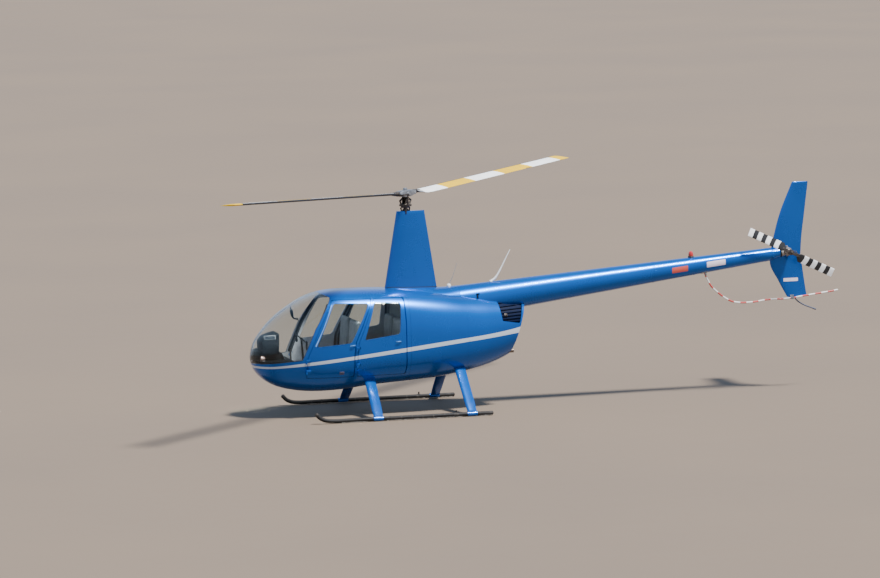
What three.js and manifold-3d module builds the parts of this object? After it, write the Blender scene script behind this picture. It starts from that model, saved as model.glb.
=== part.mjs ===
// A light four-seat helicopter with a two-blade teetering main rotor, parked on its skids.
// Millimetres. X points aft, Y to starboard, Z up, and the ground is at z = 0.
// Places are written from the main rotor axis; the last lines move the whole craft so that
// its origin lies on the ground under the middle of its outline.
import * as THREE from "three";
import { mergeVertices } from "three/addons/utils/BufferGeometryUtils.js";
import Module from "manifold-3d";

const wasm = await Module();
wasm.setup();

// Driving dimensions
const ROTOR_RADIUS = 5030;
const TEETER_HEIGHT = 3180;
const ROTOR_AZIMUTH = THREE.MathUtils.degToRad(47.2);
const BLADE_RISE = { a: THREE.MathUtils.degToRad(1.6), b: THREE.MathUtils.degToRad(3.2) };
const BLADE_PITCH = THREE.MathUtils.degToRad(6.5);
const BLADE_CHORD = 262;
const TAIL_ROTOR = { x: 5893, y: -218, z: 2091, radius: 737, chord: 130 };
const TAIL_BLADE_TILT = THREE.MathUtils.degToRad(25.2);
const SKID_Y = 1090;
const SKID_RADIUS = 29;
const SHOE = 8;
const WALL = 22;
const GLASS = 5;
const SEAM = 6;
const FIT = 0.3;
const FIREWALL_X = -110;
const COWL_SEAM_X = 795;
const SILL_Z = 600;
const DOOR_TOP_Z = 1715;
const NOSE_TOP_Z = 871;
const ORIGIN_X = 1584;

// The body's cross-sections from nose to tail: each is two half superellipses that meet at
// the widest height.
// x, bottom z, top z, widest z, half width, upper power, lower power
const BODY = [
  [-2385, 872, 888, 880, 12, 2.0, 2.0],
  [-2372, 810, 950, 880, 90, 2.0, 2.0],
  [-2336, 708, 1087, 884, 185, 2.05, 2.05],
  [-2259, 606, 1205, 890, 285, 2.1, 2.1],
  [-2144, 513, 1341, 898, 380, 2.2, 2.15],
  [-1985, 437, 1488, 908, 462, 2.35, 2.2],
  [-1800, 390, 1609, 920, 530, 2.5, 2.25],
  [-1600, 360, 1722, 936, 582, 2.7, 2.3],
  [-1350, 350, 1804, 952, 620, 2.85, 2.4],
  [-1050, 360, 1833, 966, 638, 2.95, 2.4],
  [-700, 400, 1829, 980, 640, 3.0, 2.4],
  [-300, 426, 1817, 1000, 640, 3.0, 2.4],
  [100, 450, 1777, 1015, 630, 2.9, 2.4],
  [500, 485, 1725, 1035, 602, 2.7, 2.35],
  [800, 530, 1683, 1060, 558, 2.5, 2.3],
  [1100, 592, 1640, 1090, 495, 2.4, 2.25],
  [1400, 690, 1595, 1125, 415, 2.3, 2.2],
  [1720, 874, 1545, 1170, 325, 2.3, 2.2],
  [1800, 926, 1530, 1182, 298, 2.3, 2.2],
];
const AROUND = 24;

const paint = (color, roughness = 0.3, metalness = 0.2) =>
  new THREE.MeshStandardMaterial({ color, roughness, metalness });
const BLUE = paint(0x0b4fa8, 0.25, 0.35);
const BLACK = paint(0x15161a, 0.6, 0.1);
const GREY = paint(0x83868a, 0.4, 0.7);
const WHITE = paint(0xe9e9e6, 0.4, 0.0);
const RED = paint(0xb3201c, 0.35, 0.0);
const STEEL = paint(0x6f6a66, 0.4, 0.9);
const TRIM = paint(0x2a2c30, 0.8, 0.0);
const CLOTH = paint(0x55585e, 0.9, 0.0);
const PANE = new THREE.MeshStandardMaterial({
  color: 0xb9c4c8,
  roughness: 0.08,
  metalness: 0,
  transparent: true,
  opacity: 0.35,
});

// Closed solids from geometry, and back
function solid(geometry) {
  const g = geometry.clone();
  for (const name of Object.keys(g.attributes)) {
    if (name !== "position") g.deleteAttribute(name);
  }
  const merged = mergeVertices(g, 1e-3);
  const faces = new Uint32Array(merged.index.array);
  const make = (triVerts) =>
    new wasm.Manifold(
      new wasm.Mesh({
        numProp: 3,
        vertProperties: new Float32Array(merged.attributes.position.array),
        triVerts,
      }),
    );
  const made = make(faces);
  if (made.volume() >= 0) return made;
  for (let i = 0; i < faces.length; i += 3) {
    [faces[i + 1], faces[i + 2]] = [faces[i + 2], faces[i + 1]];
  }
  return make(faces);
}

function geometryOf(body) {
  const mesh = body.getMesh();
  const position = new Float32Array(mesh.numVert * 3);
  for (let i = 0; i < mesh.numVert; i++) {
    for (let k = 0; k < 3; k++) {
      position[3 * i + k] = mesh.vertProperties[mesh.numProp * i + k];
    }
  }
  const g = new THREE.BufferGeometry();
  g.setAttribute("position", new THREE.BufferAttribute(position, 3));
  g.setIndex(new THREE.BufferAttribute(new Uint32Array(mesh.triVerts), 1));
  const flat = g.toNonIndexed();
  flat.computeVertexNormals();
  return flat;
}

const craft = new THREE.Group();
function add(name, body, material, parent = craft) {
  const mesh = new THREE.Mesh(geometryOf(body), material);
  mesh.name = name;
  parent.add(mesh);
  return mesh;
}

const union = (...bodies) => bodies.reduce((a, b) => a.add(b));

// A closed skin over rings of points; every ring has the same count.
function ringLoft(rings) {
  const n = rings[0].length;
  const points = rings.flat();
  const first = points.length;
  const middle = (ring) =>
    ring
      .reduce((s, p) => s.add(p), new THREE.Vector3())
      .multiplyScalar(1 / ring.length);
  points.push(middle(rings[0]), middle(rings.at(-1)));
  const faces = [];
  for (let r = 0; r + 1 < rings.length; r++) {
    for (let i = 0; i < n; i++) {
      const a = r * n + i;
      const b = r * n + ((i + 1) % n);
      faces.push(a, b, a + n, b, b + n, a + n);
    }
  }
  const last = (rings.length - 1) * n;
  for (let i = 0; i < n; i++) {
    const j = (i + 1) % n;
    faces.push(first, j, i, first + 1, last + i, last + j);
  }
  const g = new THREE.BufferGeometry().setFromPoints(points);
  g.setIndex(faces);
  return solid(g);
}

function box(x0, x1, y0, y1, z0, z1) {
  const g = new THREE.BoxGeometry(x1 - x0, y1 - y0, z1 - z0);
  g.translate((x0 + x1) / 2, (y0 + y1) / 2, (z0 + z1) / 2);
  return solid(g);
}

// A cylinder between two points, with one radius at each end.
function rod(from, to, r0, r1 = r0, sides = 12) {
  const a = new THREE.Vector3(...from);
  const b = new THREE.Vector3(...to);
  const g = new THREE.CylinderGeometry(r1, r0, a.distanceTo(b), sides);
  g.translate(0, a.distanceTo(b) / 2, 0);
  const turn = new THREE.Quaternion().setFromUnitVectors(
    new THREE.Vector3(0, 1, 0),
    b.clone().sub(a).normalize(),
  );
  g.applyQuaternion(turn);
  g.translate(a.x, a.y, a.z);
  return solid(g);
}

// A round tube along a smooth curve through points.
function pipe(points, radius, steps, sides = 12) {
  const path = new THREE.CatmullRomCurve3(
    points.map((p) => new THREE.Vector3(...p)),
    false,
    "centripetal",
  );
  const section = new THREE.Shape(
    Array.from({ length: sides }, (_, i) => {
      const a = (2 * Math.PI * (i + 0.5)) / sides;
      return new THREE.Vector2(radius * Math.cos(a), radius * Math.sin(a));
    }),
  );
  return solid(
    new THREE.ExtrudeGeometry(section, { steps, extrudePath: path }),
  );
}

// The body's section values at x, by a smooth curve through the table that never overshoots.
function bodyAt(x) {
  const last = BODY.length - 1;
  let i = 0;
  while (i < last - 1 && x > BODY[i + 1][0]) i++;
  const slope = (j, k) => {
    const rise = (a, b) => (BODY[b][k] - BODY[a][k]) / (BODY[b][0] - BODY[a][0]);
    if (j === 0) return rise(0, 1);
    if (j === last) return rise(last - 1, last);
    const a = rise(j - 1, j);
    const b = rise(j, j + 1);
    if (a * b <= 0) return 0;
    const h0 = BODY[j][0] - BODY[j - 1][0];
    const h1 = BODY[j + 1][0] - BODY[j][0];
    return (3 * (h0 + h1)) / ((2 * h1 + h0) / a + (h1 + 2 * h0) / b);
  };
  const h = BODY[i + 1][0] - BODY[i][0];
  const t = (x - BODY[i][0]) / h;
  const value = (k) =>
    (2 * t ** 3 - 3 * t ** 2 + 1) * BODY[i][k] +
    (t ** 3 - 2 * t ** 2 + t) * h * slope(i, k) +
    (3 * t ** 2 - 2 * t ** 3) * BODY[i + 1][k] +
    (t ** 3 - t ** 2) * h * slope(i + 1, k);
  const [bottom, top, widest, half, upper, lower] = [1, 2, 3, 4, 5, 6].map(value);
  return { bottom, top, widest, half, upper, lower };
}

// Half the body's width at a station and height.
function halfWidth(x, z) {
  const s = bodyAt(x);
  const up = z > s.widest;
  const u = up
    ? (z - s.widest) / (s.top - s.widest)
    : (s.widest - z) / (s.widest - s.bottom);
  const power = up ? s.upper : s.lower;
  return u >= 1 ? 0 : s.half * (1 - u ** power) ** (1 / power);
}

function bodyRing(x) {
  const s = bodyAt(x);
  return Array.from({ length: AROUND }, (_, i) => {
    const a = (2 * Math.PI * i) / AROUND;
    const [c, v] = [Math.cos(a), Math.sin(a)];
    const up = v >= 0;
    const power = 2 / (up ? s.upper : s.lower);
    const rise = up ? s.top - s.widest : s.widest - s.bottom;
    return new THREE.Vector3(
      x,
      s.half * Math.sign(c) * Math.abs(c) ** power,
      s.widest + rise * Math.sign(v) * Math.abs(v) ** power,
    );
  });
}

const grid = BODY.map(([x]) => bodyRing(x));

// The body moved inward by a depth, along its own normals.
function bodySolid(depth = 0) {
  if (!depth) return ringLoft(grid);
  const inset = grid.map((ring, r) =>
    ring.map((p, i) => {
      const along = grid[Math.min(r + 1, grid.length - 1)][i]
        .clone()
        .sub(grid[Math.max(r - 1, 0)][i]);
      const across = ring[(i + 1) % AROUND]
        .clone()
        .sub(ring[(i + AROUND - 1) % AROUND]);
      const normal = across.cross(along).normalize();
      const outward = new THREE.Vector3(0, p.y, p.z - BODY[0][3]);
      if (normal.dot(outward) < 0) normal.negate();
      return p.clone().addScaledVector(normal, -depth);
    }),
  );
  return ringLoft(depth > 10 ? inset.slice(2) : inset.slice(1));
}

// A prism across one side of the craft, from an outline in side view. A row is x, z, lean:
// a leaning edge runs forward by lean for each unit inboard of the skin.
const OUTER_Y = 760;
const INNER_Y = 120;
function sidePrism(side, outline, nearY = INNER_Y) {
  const shape = outline.map(([x, z]) => new THREE.Vector2(x, z));
  const at = (y) =>
    outline.map(([x, z, lean = 0]) => {
      const shift = lean ? lean * (y - halfWidth(x, z)) : 0;
      return new THREE.Vector3(x + shift, side * y, z);
    });
  const points = [...at(nearY), ...at(OUTER_Y)];
  const n = outline.length;
  const faces = [];
  for (const [a, b, c] of THREE.ShapeUtils.triangulateShape(shape, [])) {
    faces.push(a, b, c, n + a, n + c, n + b);
  }
  // Side faces turn the same way as the caps, whichever way the outline runs.
  const turns = THREE.ShapeUtils.isClockWise(shape);
  for (let i = 0; i < n; i++) {
    const j = (i + 1) % n;
    faces.push(...(turns ? [i, j, n + i, j, n + j, n + i] : [j, i, n + j, i, n + i, n + j]));
  }
  const g = new THREE.BufferGeometry().setFromPoints(points);
  g.setIndex(faces);
  return solid(g);
}

// A prism right across the craft.
function crossPrism(outline, y0 = -OUTER_Y, y1 = OUTER_Y) {
  const shape = new THREE.Shape(outline.map(([x, z]) => new THREE.Vector2(x, z)));
  const g = new THREE.ExtrudeGeometry(shape, { depth: y1 - y0, bevelEnabled: false });
  g.rotateX(Math.PI / 2);
  g.translate(0, y1, 0);
  return solid(g);
}

// The same outline with its corners rounded.
function rounded(outline, radius, steps = 3) {
  return outline.flatMap(([x, z], i) => {
    const here = new THREE.Vector2(x, z);
    const before = new THREE.Vector2(...outline.at(i - 1));
    const after = new THREE.Vector2(...outline[(i + 1) % outline.length]);
    const reach = (p) => Math.min(radius, here.distanceTo(p) / 2.2);
    const a = here.clone().add(before.sub(here).setLength(reach(before)));
    const b = here.clone().add(after.sub(here).setLength(reach(after)));
    const bend = new THREE.QuadraticBezierCurve(a, here, b);
    return bend.getPoints(steps).map((p) => [p.x, p.y]);
  });
}

// Outlines in side view
const WINDSHIELD = [
  [-2450, 800],
  [-2330, 806],
  [-2102, 827],
  [-1721, NOSE_TOP_Z],
  [-1521, 1317],
  [-1271, 1715],
  [-1250, 1749],
  [-1330, 1790],
  [-1400, 1815],
  [-1400, 1950],
  [-2450, 1950],
];
const AFT_LEAN = { front: 0.22, rear: 0.38 };
const AFT_GAP = { front: 11, rear: 15 };
// x, z, lean, and how far the opening's edge stands off in x and in z
const FRONT_DOOR = [
  [-1240, DOOR_TOP_Z, 0, -SEAM, SEAM],
  [-661, DOOR_TOP_Z, AFT_LEAN.front, AFT_GAP.front, SEAM],
  [-790, 1437, AFT_LEAN.front, AFT_GAP.front, 0],
  [-948, 1095, AFT_LEAN.front, AFT_GAP.front, 0],
  [-968, 900, AFT_LEAN.front, AFT_GAP.front, 0],
  [-968, SILL_Z, AFT_LEAN.front, AFT_GAP.front, -SEAM],
  [-1655, SILL_Z, 0, -SEAM, -SEAM],
  [-1655, NOSE_TOP_Z, 0, -SEAM, 0],
  [-1462, 1317, 0, -SEAM, 0],
  [-1268, 1672, 0, -SEAM, 0],
];
const REAR_DOOR = [
  [-620, DOOR_TOP_Z, 0, -SEAM, SEAM],
  [-185, DOOR_TOP_Z, AFT_LEAN.rear, AFT_GAP.rear, SEAM],
  [-185, 1500, AFT_LEAN.rear, AFT_GAP.rear, 0],
  [-185, 1200, AFT_LEAN.rear, AFT_GAP.rear, 0],
  [-185, 900, AFT_LEAN.rear, AFT_GAP.rear, 0],
  [-185, SILL_Z, AFT_LEAN.rear, AFT_GAP.rear, -SEAM],
  [-912, SILL_Z, 0, -SEAM, -SEAM],
  [-912, 900, 0, -SEAM, 0],
  [-890, 1095, 0, -SEAM, 0],
  [-649, 1652, 0, -SEAM, 0],
];
const FRONT_WINDOW = [
  [-1233, 1672],
  [-708, 1654],
  [-1004, 1095],
  [-1518, 1057],
];
const REAR_WINDOW = [
  [-627, 1663],
  [-232, 1647],
  [-273, 1199],
  [-809, 1130],
];
const opening = (door) => door.map(([x, z, lean, dx, dz]) => [x + dx, z + dz, lean]);
const shrunk = (outline, by) => {
  const cx = outline.reduce((s, p) => s + p[0], 0) / outline.length;
  const cz = outline.reduce((s, p) => s + p[1], 0) / outline.length;
  return outline.map(([x, z]) => [x - by * Math.sign(x - cx), z - by * Math.sign(z - cz)]);
};
// The slanted rear wall of the body
const rearCut = (inset) => [
  [-2600, 200],
  [1290 - inset, 200],
  [1516 - inset, 856],
  [1615 - inset, 1144],
  [1702 - inset, 1399],
  [1790 - inset, 1650],
  [1790 - inset, 1950],
  [-2600, 1950],
];
const LOUVRE = [
  [1296, 1640],
  [1342, 1290],
  [1622, 1240],
  [1672, 1420],
  [1740, 1640],
];

// Tail boom: a straight cone that rises to the rear
const BOOM = { x0: 760, x1: 5630, z: 1668, atX: 1870, rise: 0.10294, r: 214, taper: 0.0308 };
const boomZ = (x) => BOOM.z + BOOM.rise * (x - BOOM.atX);
const boomR = (x) => BOOM.r - BOOM.taper * (x - BOOM.atX);
const boomCone = (x0, x1, more = 0) =>
  rod([x0, 0, boomZ(x0)], [x1, 0, boomZ(x1)], boomR(x0) + more, boomR(x1) + more, 32);

const outer = bodySolid().intersect(crossPrism(rearCut(0)));
const inner = bodySolid(WALL).intersect(crossPrism(rearCut(WALL)));
const shell = outer.subtract(inner);
const paneSkin = outer.subtract(bodySolid(GLASS));
const roomForFloor = bodySolid(WALL + FIT);

const FAR = 3000;
const cabinZone = box(-FAR, FIREWALL_X, -FAR, FAR, 0, FAR);
const windshieldZone = crossPrism(WINDSHIELD);
const boomRoom = boomCone(BOOM.x0 - 1, BOOM.x1, FIT + 0.2);
const MAST_TUBE_R = 38;
const mastRoom = rod([0, 0, 1200], [0, 0, 3000], MAST_TUBE_R + 6);

// Door hinges: vertical axes just outside the skin at each door's lower front corner
const HINGES = {
  front: { x: -1672, y: 592, heights: [700, 850], reach: 62, deep: 78 },
  rear: { x: -930, y: 664, heights: [770, 1010], reach: 52, deep: 80 },
};
const KNUCKLE = { r: 9, tall: 34 };

// The moving half of a hinge: a knuckle on the axis, and an arm back to the door.
function doorKnuckle(side, hinge) {
  return hinge.heights.map((z) => {
    const z0 = z + FIT;
    const z1 = z0 + KNUCKLE.tall;
    const pin = rod([hinge.x, side * hinge.y, z0], [hinge.x, side * hinge.y, z1], KNUCKLE.r);
    const ends = [side * (hinge.y + 4), side * (hinge.y - hinge.deep)].sort((a, b) => a - b);
    const near = [side * (hinge.y + 4), side * (hinge.y - 5)].sort((a, b) => a - b);
    const plate = box(hinge.x, hinge.x + hinge.reach, ...near, z0, z1);
    const foot = box(hinge.x + hinge.reach - 16, hinge.x + hinge.reach, ...ends, z0, z1);
    return union(pin, plate, foot.subtract(inner));
  });
}

// The fixed half of a hinge: a lug from the skin out to the axis, under each knuckle.
function hingeLugs(side, hinge) {
  return hinge.heights.map((z) => {
    const ends = [side * (hinge.y + 4), side * (hinge.y - hinge.deep)].sort((a, b) => a - b);
    const lug = box(hinge.x - 12, hinge.x + 9, ...ends, z - KNUCKLE.tall, z);
    return lug.subtract(inner);
  });
}

const SIDES = { port: -1, starboard: 1 };
const openings = [];
for (const side of Object.values(SIDES)) {
  for (const door of [FRONT_DOOR, REAR_DOOR]) openings.push(sidePrism(side, opening(door)));
}
const allOpenings = union(...openings);

// Lower hull: nose and belly, up to the windshield, the door sills and the firewall
const lowerZone = crossPrism([
  [-FAR, 0],
  [FIREWALL_X, 0],
  [FIREWALL_X, SILL_Z - SEAM],
  [-1655 - SEAM, SILL_Z - SEAM],
  [-1655 - SEAM, NOSE_TOP_Z],
  [-FAR, NOSE_TOP_Z],
]);
let lowerHull = shell.intersect(lowerZone).subtract(windshieldZone);
for (const side of Object.values(SIDES)) {
  lowerHull = union(lowerHull, ...hingeLugs(side, HINGES.front));
}
add("lower_hull", lowerHull.subtract(allOpenings), BLUE);

// Cabin frame: roof, and the posts before, between and behind the doors
const upperZone = crossPrism([
  [-FAR, NOSE_TOP_Z + FIT],
  [-1655 - SEAM + 2, NOSE_TOP_Z + FIT],
  [-1655 - SEAM + 2, SILL_Z - SEAM + FIT],
  [FIREWALL_X, SILL_Z - SEAM + FIT],
  [FIREWALL_X, 1950],
  [-FAR, 1950],
]);
let frame = shell.intersect(upperZone).intersect(cabinZone);
frame = frame.subtract(windshieldZone).subtract(allOpenings);
for (const side of Object.values(SIDES)) {
  frame = union(frame, ...hingeLugs(side, HINGES.rear).map((lug) => lug.subtract(allOpenings)));
}
add("cabin_frame", frame.subtract(mastRoom), BLUE);

// Windshield: two panes either side of a centre strip
const STRIP_HALF = 14;
const windshieldFit = crossPrism(
  WINDSHIELD.map(([x, z]) => (z <= NOSE_TOP_Z ? [x, z + FIT + 0.2] : [x - FIT - 0.2, z])),
);
const stripSkin = outer.subtract(bodySolid(16));
add(
  "windshield_strip",
  stripSkin.intersect(windshieldFit).intersect(box(-FAR, FAR, -STRIP_HALF, STRIP_HALF, 0, FAR)),
  TRIM,
);
for (const [name, side] of Object.entries(SIDES)) {
  const half = side < 0
    ? box(-FAR, FAR, -FAR, -STRIP_HALF - FIT, 0, FAR)
    : box(-FAR, FAR, STRIP_HALF + FIT, FAR, 0, FAR);
  add(`windshield_${name}`, paneSkin.intersect(windshieldFit).intersect(half), PANE);
}

// Doors, each with its pane
const WINDOW_CORNER = 55;
for (const [name, side] of Object.entries(SIDES)) {
  for (const [row, door, window] of [
    ["front", FRONT_DOOR, FRONT_WINDOW],
    ["rear", REAR_DOOR, REAR_WINDOW],
  ]) {
    const hole = sidePrism(side, rounded(window, WINDOW_CORNER));
    const panel = shell.intersect(sidePrism(side, door)).subtract(hole);
    add(`${row}_door_${name}`, union(panel, ...doorKnuckle(side, HINGES[row])), BLUE);
    const fitted = sidePrism(side, rounded(shrunk(window, FIT), WINDOW_CORNER));
    add(`${row}_door_glass_${name}`, paneSkin.intersect(fitted), PANE);
  }
}

// Cabin floor with the seat boxes on it, and the firewall behind
const FLOOR_Z = 515;
const FLOOR = 14;
const SEAT_TOP = 760;
const FRONT_BOX = { x0: -1290, x1: -860 };
const REAR_BOX = { x0: -560, x1: -150 };
const SEAT_HALF = 520;
const FIREWALL = { x0: -128, x1: -116 };
let floor = box(-2000, FIREWALL.x0 - FIT, -FAR, FAR, FLOOR_Z - FLOOR, FLOOR_Z);
for (const { x0, x1 } of [FRONT_BOX, REAR_BOX]) {
  floor = union(floor, box(x0, x1, -SEAT_HALF, SEAT_HALF, FLOOR_Z - 1, SEAT_TOP));
}
add("cabin_floor", floor.intersect(roomForFloor), GREY);
add(
  "firewall",
  box(FIREWALL.x0, FIREWALL.x1, -FAR, FAR, 0, FAR).intersect(roomForFloor),
  GREY,
);

// Seats: a cushion and a raked back to each
function seat(x0, backX, y0, y1, top) {
  const z0 = SEAT_TOP + FIT;
  const cushion = box(x0 + 10, backX, y0, y1, z0, z0 + 95);
  const back = crossPrism(
    [
      [backX - 95, z0],
      [backX, z0],
      [backX + 55, top],
      [backX - 25, top],
    ],
    y0,
    y1,
  );
  return union(cushion, back);
}
add("front_seat_port", seat(FRONT_BOX.x0, FRONT_BOX.x1 - 5, -SEAT_HALF + 12, -45, 1420), CLOTH);
add("front_seat_starboard", seat(FRONT_BOX.x0, FRONT_BOX.x1 - 5, 45, SEAT_HALF - 12, 1420), CLOTH);
add("rear_seat", seat(REAR_BOX.x0, REAR_BOX.x1 - 50, -SEAT_HALF + 12, SEAT_HALF - 12, 1400), CLOTH);

// Instrument console: a narrow pedestal with a wide head, and a shelf across the nose
const pedestal = crossPrism(
  [
    [-1995, FLOOR_Z + FIT],
    [-1790, FLOOR_Z + FIT],
    [-1830, 700],
    [-1930, 950],
    [-2160, 930],
  ],
  -110,
  110,
);
const head = crossPrism(
  [
    [-2215, 930],
    [-1945, 940],
    [-1955, 1060],
    [-1978, 1238],
    [-2010, 1248],
    [-2190, 1190],
    [-2240, 1120],
  ],
  -215,
  215,
);
const SHELF = { x0: -2300, x1: -1800, half: 430, z0: 812, z1: 842 };
const shelf = box(SHELF.x0, SHELF.x1, -SHELF.half, SHELF.half, SHELF.z0, SHELF.z1);
const consoleRoom = bodySolid(WALL + 4);
add("instrument_console", union(pedestal, head, shelf).intersect(consoleRoom), BLACK);

// Cyclic stick: one centre post with a swinging cross bar and a grip at each end
const CYCLIC = { x: -1610, z: 1120, half: 330 };
add(
  "cyclic_stick",
  union(
    rod([CYCLIC.x + 40, 0, FLOOR_Z + FIT], [CYCLIC.x + 40, 0, FLOOR_Z + 60], 32),
    rod([CYCLIC.x + 40, 0, FLOOR_Z + 40], [CYCLIC.x, 0, CYCLIC.z + 12], 14),
    rod([CYCLIC.x, -CYCLIC.half, CYCLIC.z - 20], [CYCLIC.x, CYCLIC.half, CYCLIC.z + 30], 11, 11, 12),
    ...[-1, 1].map((s) =>
      rod(
        [CYCLIC.x, s * CYCLIC.half, CYCLIC.z + 30 * s + 20],
        [CYCLIC.x + 8, s * CYCLIC.half, CYCLIC.z - 120 + 30 * s],
        17,
        17,
        12,
      ),
    ),
  ),
  TRIM,
);

// Engine bay cowls: one each side, then the tail cowl with its louvred sides
const engineZone = box(FIREWALL_X + FIT, COWL_SEAM_X, -FAR, FAR, 0, FAR);
for (const [name, side] of Object.entries(SIDES)) {
  const half = side < 0
    ? box(-FAR, FAR, -FAR, -FIT / 2, 0, FAR)
    : box(-FAR, FAR, FIT / 2, FAR, 0, FAR);
  const cowl = shell.intersect(engineZone).intersect(half);
  add(`engine_cowl_${name}`, cowl.subtract(boomRoom).subtract(mastRoom), BLUE);
}
const EXHAUST = { x0: 860, x1: 1555, y: -205, z: 822, r: 30 };
const louvreHole = union(...Object.values(SIDES).map((side) => sidePrism(side, LOUVRE)));
const exhaustRoom = rod(
  [EXHAUST.x0, EXHAUST.y, EXHAUST.z],
  [EXHAUST.x1, EXHAUST.y, EXHAUST.z],
  EXHAUST.r + FIT + 0.2,
);
const tailShell = shell.intersect(box(COWL_SEAM_X + FIT, FAR, -FAR, FAR, 0, FAR));
add(
  "tail_cowl",
  tailShell.subtract(louvreHole).subtract(boomRoom).subtract(exhaustRoom),
  BLUE,
);

// Louvre panels: a thin back plate with level slats standing out from it
const LOUVRE_BACK = { from: 20, to: 26 };
const SLAT = { pitch: 42, thick: 5, first: 1270, last: 1560 };
const outerRear = (depth) => bodySolid(depth).intersect(crossPrism(rearCut(depth)));
const backSkin = outerRear(LOUVRE_BACK.from).subtract(outerRear(LOUVRE_BACK.to));
const slatSkin = outerRear(4).subtract(outerRear(LOUVRE_BACK.to - 1));
for (const [name, side] of Object.entries(SIDES)) {
  const zone = sidePrism(side, shrunk(LOUVRE, FIT + 0.2));
  const slats = [];
  for (let z = SLAT.first; z <= SLAT.last; z += SLAT.pitch) {
    slats.push(box(1200, 1800, -FAR, FAR, z, z + SLAT.thick));
  }
  const panel = union(backSkin, slatSkin.intersect(union(...slats))).intersect(zone);
  add(`louvre_panel_${name}`, panel.subtract(boomCone(BOOM.x0 - 1, BOOM.x1, 1)), BLACK);
}

// Roof cowl: the low hump from the mast fairing back to the boom
// x, middle z, half width, half height
const HUMP = [
  [-360, 1690, 150, 100],
  [-300, 1684, 225, 142],
  [-150, 1658, 270, 177],
  [100, 1625, 292, 195],
  [450, 1590, 288, 205],
  [COWL_SEAM_X - 36, 1554, 247, 247],
];
const humpRings = HUMP.map(([x, z, half, rise]) =>
  Array.from({ length: 24 }, (_, i) => {
    const a = (2 * Math.PI * i) / 24;
    return new THREE.Vector3(x, half * Math.cos(a), z + rise * Math.sin(a));
  }),
);
const roofSkin = bodySolid(-FIT);
add(
  "roof_cowl",
  ringLoft(humpRings)
    .intersect(box(-FAR, FAR, -FAR, FAR, 1560, FAR))
    .subtract(roofSkin)
    .subtract(mastRoom)
    .subtract(boomRoom),
  BLUE,
);

// A wing section in plan: rounded nose at 0, thin tail at 1, as unit chord and thickness
function section(thickness, points = 7) {
  const half = (t) =>
    5 * thickness * (0.2969 * Math.sqrt(t) - 0.126 * t - 0.3516 * t ** 2 + 0.2843 * t ** 3 - 0.1015 * t ** 4);
  const steps = Array.from({ length: points + 1 }, (_, i) => (1 - Math.cos((Math.PI * i) / points)) / 2);
  const upper = steps.map((t) => [t, half(t) + 0.0012]);
  const lower = steps
    .slice(1)
    .reverse()
    .map((t) => [t, -half(t) - 0.0012]);
  return [...upper, ...lower];
}

// Mast fairing: a tall hollow fin around the fixed mast tube
const FAIRING = [
  { z: 1700, x0: -354, x1: 467, wide: 0.27 },
  { z: 1830, x0: -335, x1: 447, wide: 0.27 },
  { z: 2940, x0: -139, x1: 281, wide: 0.3 },
];
const fairingRings = FAIRING.map(({ z, x0, x1, wide }) =>
  section(wide, 9).map(([t, s]) => new THREE.Vector3(x0 + t * (x1 - x0), s * (x1 - x0), z)),
);
const humpSolid = ringLoft(
  HUMP.map(([x, z, half, rise]) =>
    Array.from({ length: 24 }, (_, i) => {
      const a = (2 * Math.PI * i) / 24;
      return new THREE.Vector3(x, (half + FIT) * Math.cos(a), z + (rise + FIT) * Math.sin(a));
    }),
  ),
);
add(
  "mast_fairing",
  ringLoft(fairingRings).subtract(humpSolid).subtract(roofSkin).subtract(mastRoom),
  BLUE,
);

// Main gearbox with the fixed mast tube, hung on the firewall; and the engine behind it
const GEARBOX = { x0: FIREWALL.x1 + FIT, x1: 190, half: 150, z0: 1180, z1: 1440 };
add(
  "main_gearbox",
  union(
    box(GEARBOX.x0, GEARBOX.x1, -GEARBOX.half, GEARBOX.half, GEARBOX.z0, GEARBOX.z1),
    rod([0, 0, GEARBOX.z1 - 5], [0, 0, 2955], MAST_TUBE_R),
  ),
  GREY,
);
const ENGINE = { x0: 180, x1: 860, half: 330, z0: 720, z1: 1090 };
add(
  "engine",
  union(
    box(ENGINE.x0, ENGINE.x1, -ENGINE.half, ENGINE.half, ENGINE.z0, ENGINE.z1),
    ...[-1, 1].flatMap((s) =>
      [ENGINE.z0 + 60, ENGINE.z1 - 60].map((z) =>
        rod([FIREWALL.x1 + FIT, s * 250, z], [ENGINE.x0 + 5, s * 250, z], 18, 18, 10),
      ),
    ),
  ),
  STEEL,
);
add(
  "exhaust_pipe",
  rod([EXHAUST.x0 + FIT, EXHAUST.y, EXHAUST.z], [EXHAUST.x1, EXHAUST.y, EXHAUST.z], EXHAUST.r),
  STEEL,
);

// Tail boom
const BOOM_WALL = 12;
const boomBore = boomCone(BOOM.x0 - 30, BOOM.x1 - BOOM_WALL, -BOOM_WALL);
add("tail_boom", boomCone(BOOM.x0, BOOM.x1).subtract(boomBore), BLUE);

// Tail gearbox: a mounting ring on the boom's end, a waist, and a round case
const TAIL_CASE = { x0: BOOM.x1 + FIT, x: TAIL_ROTOR.x, z: TAIL_ROTOR.z, r: 62, y0: -96, y1: 34 };
const TAIL_RING = { r: 94, thick: 24 };
const TAIL_WAIST = { r0: 88, r1: 51, from: 12, y: -18 };
const tailCase = (more = 0) => {
  const { x0, x, z, r, y0, y1 } = TAIL_CASE;
  const ringEnd = x0 + TAIL_RING.thick + more;
  const waistStart = x0 + TAIL_WAIST.from;
  return union(
    rod([x0, 0, boomZ(x0)], [ringEnd, 0, boomZ(ringEnd)], TAIL_RING.r + more, TAIL_RING.r + more, 24),
    rod(
      [waistStart, 0, boomZ(waistStart)],
      [x, TAIL_WAIST.y, z],
      TAIL_WAIST.r0 + more,
      TAIL_WAIST.r1 + more,
      16,
    ),
    rod([x, y0, z], [x, y1 + more, z], r + more),
    rod([x, y0 - 30, z], [x, y0 + 4, z], 34),
  );
};
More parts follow.
